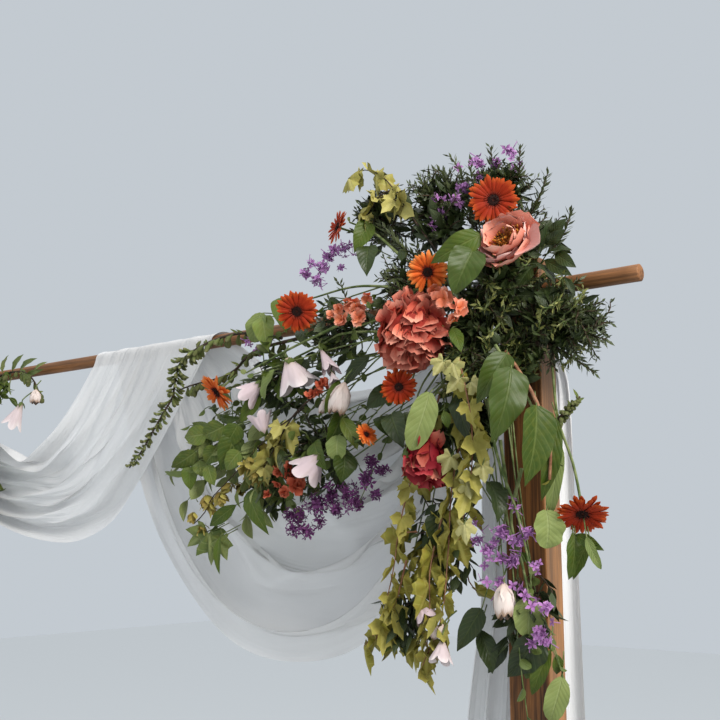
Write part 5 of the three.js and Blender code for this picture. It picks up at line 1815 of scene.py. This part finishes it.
def small_blossoms(word, side, rng):
    """Bells, buds and ruffled flowers; on the left with the few that hang beside the spike."""
    finishes = ["mallow_white", "stock_peach", "rust", "leaf_fresh", "stem_green", "bud_pink", "leaf_soft",
        "pod"]
    sheaf = Sheaf()
    for *ends, width in BELLS:
        bell(sheaf, *ends_of(ends), width * MM, 0, rng)
    for *ends, width, finish in BUDS:
        bud(sheaf, *ends_of(ends), width * MM, finishes.index(finish), rng)
    for slot, table, turn, layers in ((1, STOCKS, 0.5, 2), (2, RUSTS, 0.6, 3)):
        for *centre, width in table:
            facing = LOOKING + rng.normal(0, turn, 3)
            ruffled_bloom(sheaf, as_mm(centre), facing, width * MM, slot, rng, layers)
    if side < 0:
        bell(sheaf, *ends_of(LEFT_BELL[:6], -1), LEFT_BELL[6] * MM, 0, rng)
        bud(sheaf, *ends_of(LEFT_BUD[:6], -1), LEFT_BUD[6] * MM, 5, rng)
        for *ends, width in LEFT_LEAVES:
            base, tip = ends_of(ends, -1)
            sheaf.blade(base, placing(tip - base, LOOKING + rng.normal(0, 0.3, 3)), 6, rng.uniform(),
                length=np.linalg.norm(tip - base), width=width * MM, curl=-0.6, fold=0.3, wave=0.15)
    return sheaf.make(f"small_blossoms_{word}", finishes, flip=side < 0)


# Stage. The camera stands where the photo was taken from; its turn is in degrees.
CAMERA_AT, CAMERA_TURN = (2.295, -1.885, 1.694), (99.62, 0, 38.26)
LIGHTS_AIM_AT = (0.6, 0.0, 1.7)
FLOOR_REACH = 14.0


def overcast_sky(strength):
    """A plain sky, even at eye level and brighter overhead."""
    world = bpy.data.worlds.new("Overcast")
    world.use_nodes = True
    nodes = Nodes(world.node_tree)
    shader = world.node_tree.nodes["Background"]
    way = nodes.add("ShaderNodeTexCoord").outputs["Generated"]
    height = nodes.split(way)[2]
    nodes.link(nodes.mix(nodes.band(height, 0.5, 1.0), (0.545, 0.59, 0.635), (1.52, 1.56, 1.6)),
        shader.inputs[0])
    shader.inputs[1].default_value = strength
    return world


def make_stage(look):
    scene = bpy.context.scene
    lens = bpy.data.cameras.new("Camera")
    lens.lens, lens.sensor_width = 35, 24
    lens.clip_end = 200
    camera = bpy.data.objects.new("Camera", lens)
    camera.location = CAMERA_AT
    camera.rotation_euler = [math.radians(angle) for angle in CAMERA_TURN]
    scene.collection.objects.link(camera)
    scene.camera = camera
    sheaf = Sheaf()
    sheaf.grid(np.array([[(x, y, -0.001) for x in (-FLOOR_REACH, FLOOR_REACH)]
        for y in (-FLOOR_REACH, FLOOR_REACH)]))
    plain, _, shader = surface("plain_floor", Roughness=0.95)
    shader.inputs["Base Color"].default_value = (0.52, 0.54, 0.55, 1)
    floor = sheaf.make("studio_floor", [plain])
    scene.world = overcast_sky(look.sky)
    for name, place, energy, size in (("Soft key", (5.2, -1.5, 4.6), look.key, 2.4),
            ("Soft fill", (-4.0, -4.5, 3.5), look.key * 0.15, 4.0)):
        light = bpy.data.lights.new(name, "AREA")
        light.energy, light.size = energy, size
        light.color = (1.0, 0.97, 0.93)
        lamp = bpy.data.objects.new(name, light)
        lamp.location = place
        aim = Vector(LIGHTS_AIM_AT) - Vector(place)
        lamp.rotation_euler = aim.to_track_quat("-Z", "Y").to_euler()
        scene.collection.objects.link(lamp)
    scene.view_settings.view_transform = "Standard"


def tone(name, description, default):
    """A colour that the panel offers."""
    return FloatVectorProperty(name=name, description=description, subtype="COLOR", size=3, min=0, max=1,
        default=default)


class ArchTimber(bpy.types.PropertyGroup):
    post_dark: tone("Post dark", "Dark tone of the stained posts and feet", (0.034, 0.014, 0.006))
    post_light: tone("Post light", "Light tone of the stained posts and feet", (0.21, 0.084, 0.024))
    pole_colour: tone("Pole", "Colour of the stained pole", (0.29, 0.125, 0.046))
    wear: FloatProperty(name="Edge wear", description="How much the arrises are rubbed pale",
        subtype="FACTOR", min=0, max=1, default=0.5)


class ArchCloth(bpy.types.PropertyGroup):
    cloth_width: FloatProperty(name="Cloth width", description="Width of the flat cloth",
        subtype="DISTANCE", unit="LENGTH", min=0.5, max=1.5, default=0.7)
    cloth_colour: tone("Cloth", "Colour of the voile", (0.74, 0.735, 0.73))
    cloth_cover: FloatProperty(name="Cover", description="How much of the view the voile hides",
        subtype="FACTOR", min=0, max=1, default=0.83)


class ArchFlowers(bpy.types.PropertyGroup):
    seed: IntProperty(name="Seed", description="Another arrangement of the leaves", min=0, max=999,
        default=7)


class ArchStage(bpy.types.PropertyGroup):
    sky: FloatProperty(name="Sky", description="Strength of the plain sky", min=0, max=5, default=1.0)
    key: FloatProperty(name="Key light", description="Power of the soft key light", subtype="POWER",
        unit="POWER", min=0, max=2000, default=310)


class ARCH_OT_stage(bpy.types.Operator):
    """Make the camera, the floor and the soft lights"""
    bl_idname = "arch.stage"
    bl_label = "Stage"

    def execute(self, context):
        make_stage(context.scene.arch_stage)
        return {"FINISHED"}


class ARCH_OT_timber(bpy.types.Operator):
    """Make the posts, the foot boards, the pole and their fixings"""
    bl_idname = "arch.timber"
    bl_label = "Timber frame"

    def execute(self, context):
        make_timber(context.scene.arch_timber)
        return {"FINISHED"}


class ARCH_OT_drape(bpy.types.Operator):
    """Hang the long cloth in two swags and two tails"""
    bl_idname = "arch.drape"
    bl_label = "Drape"

    def execute(self, context):
        make_drape(context.scene.arch_cloth)
        return {"FINISHED"}


class ARCH_OT_foliage(bpy.types.Operator):
    """Fill both sprays with greenery"""
    bl_idname = "arch.foliage"
    bl_label = "Greenery"

    def execute(self, context):
        make_foliage(context.scene.arch_flowers)
        return {"FINISHED"}


class ARCH_OT_trails(bpy.types.Operator):
    """Add the trailing stems, single leaves and seed spikes"""
    bl_idname = "arch.trails"
    bl_label = "Trailing stems"

    def execute(self, context):
        make_trails(context.scene.arch_flowers)
        return {"FINISHED"}


class ARCH_OT_gerberas(bpy.types.Operator):
    """Add the gerberas"""
    bl_idname = "arch.gerberas"
    bl_label = "Gerberas"

    def execute(self, context):
        make_gerberas(context.scene.arch_flowers)
        return {"FINISHED"}


class ARCH_OT_peonies(bpy.types.Operator):
    """Add the peonies"""
    bl_idname = "arch.peonies"
    bl_label = "Peonies"

    def execute(self, context):
        make_peonies(context.scene.arch_flowers)
        return {"FINISHED"}


class ARCH_OT_blossoms(bpy.types.Operator):
    """Add the lilac, bells, buds and other small blossoms"""
    bl_idname = "arch.blossoms"
    bl_label = "Small blossoms"

    def execute(self, context):
        make_blossoms(context.scene.arch_flowers)
        return {"FINISHED"}


STEPS = (ARCH_OT_stage, ARCH_OT_timber, ARCH_OT_drape, ARCH_OT_foliage, ARCH_OT_trails, ARCH_OT_gerberas,
    ARCH_OT_peonies, ARCH_OT_blossoms)
SETTINGS = {"arch_timber": ArchTimber, "arch_cloth": ArchCloth, "arch_flowers": ArchFlowers,
    "arch_stage": ArchStage}


class ARCH_PT_panel(bpy.types.Panel):
    bl_label = "Wedding arch"
    bl_idname = "ARCH_PT_panel"
    bl_space_type = "VIEW_3D"
    bl_region_type = "UI"
    bl_category = "Wedding arch"

    def draw(self, context):
        for name in SETTINGS:
            group = getattr(context.scene, name)
            box = self.layout.box()
            for key in group.__annotations__:
                box.prop(group, key)
        for step in STEPS:
            self.layout.operator(step.bl_idname)


CLASSES = (*SETTINGS.values(), *STEPS, ARCH_PT_panel)


def register():
    for made in CLASSES:
        bpy.utils.register_class(made)
    for name, group in SETTINGS.items():
        setattr(bpy.types.Scene, name, PointerProperty(type=group))


def unregister():
    for name in SETTINGS:
        delattr(bpy.types.Scene, name)
    for made in reversed(CLASSES):
        bpy.utils.unregister_class(made)


def main():
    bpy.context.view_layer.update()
    register()
    for step in STEPS:
        area, action = step.bl_idname.split(".")
        getattr(getattr(bpy.ops, area), action)()
    for obj in TEMPLATES.values():
        bpy.data.objects.remove(obj)


if __name__ == "__main__":
    main()
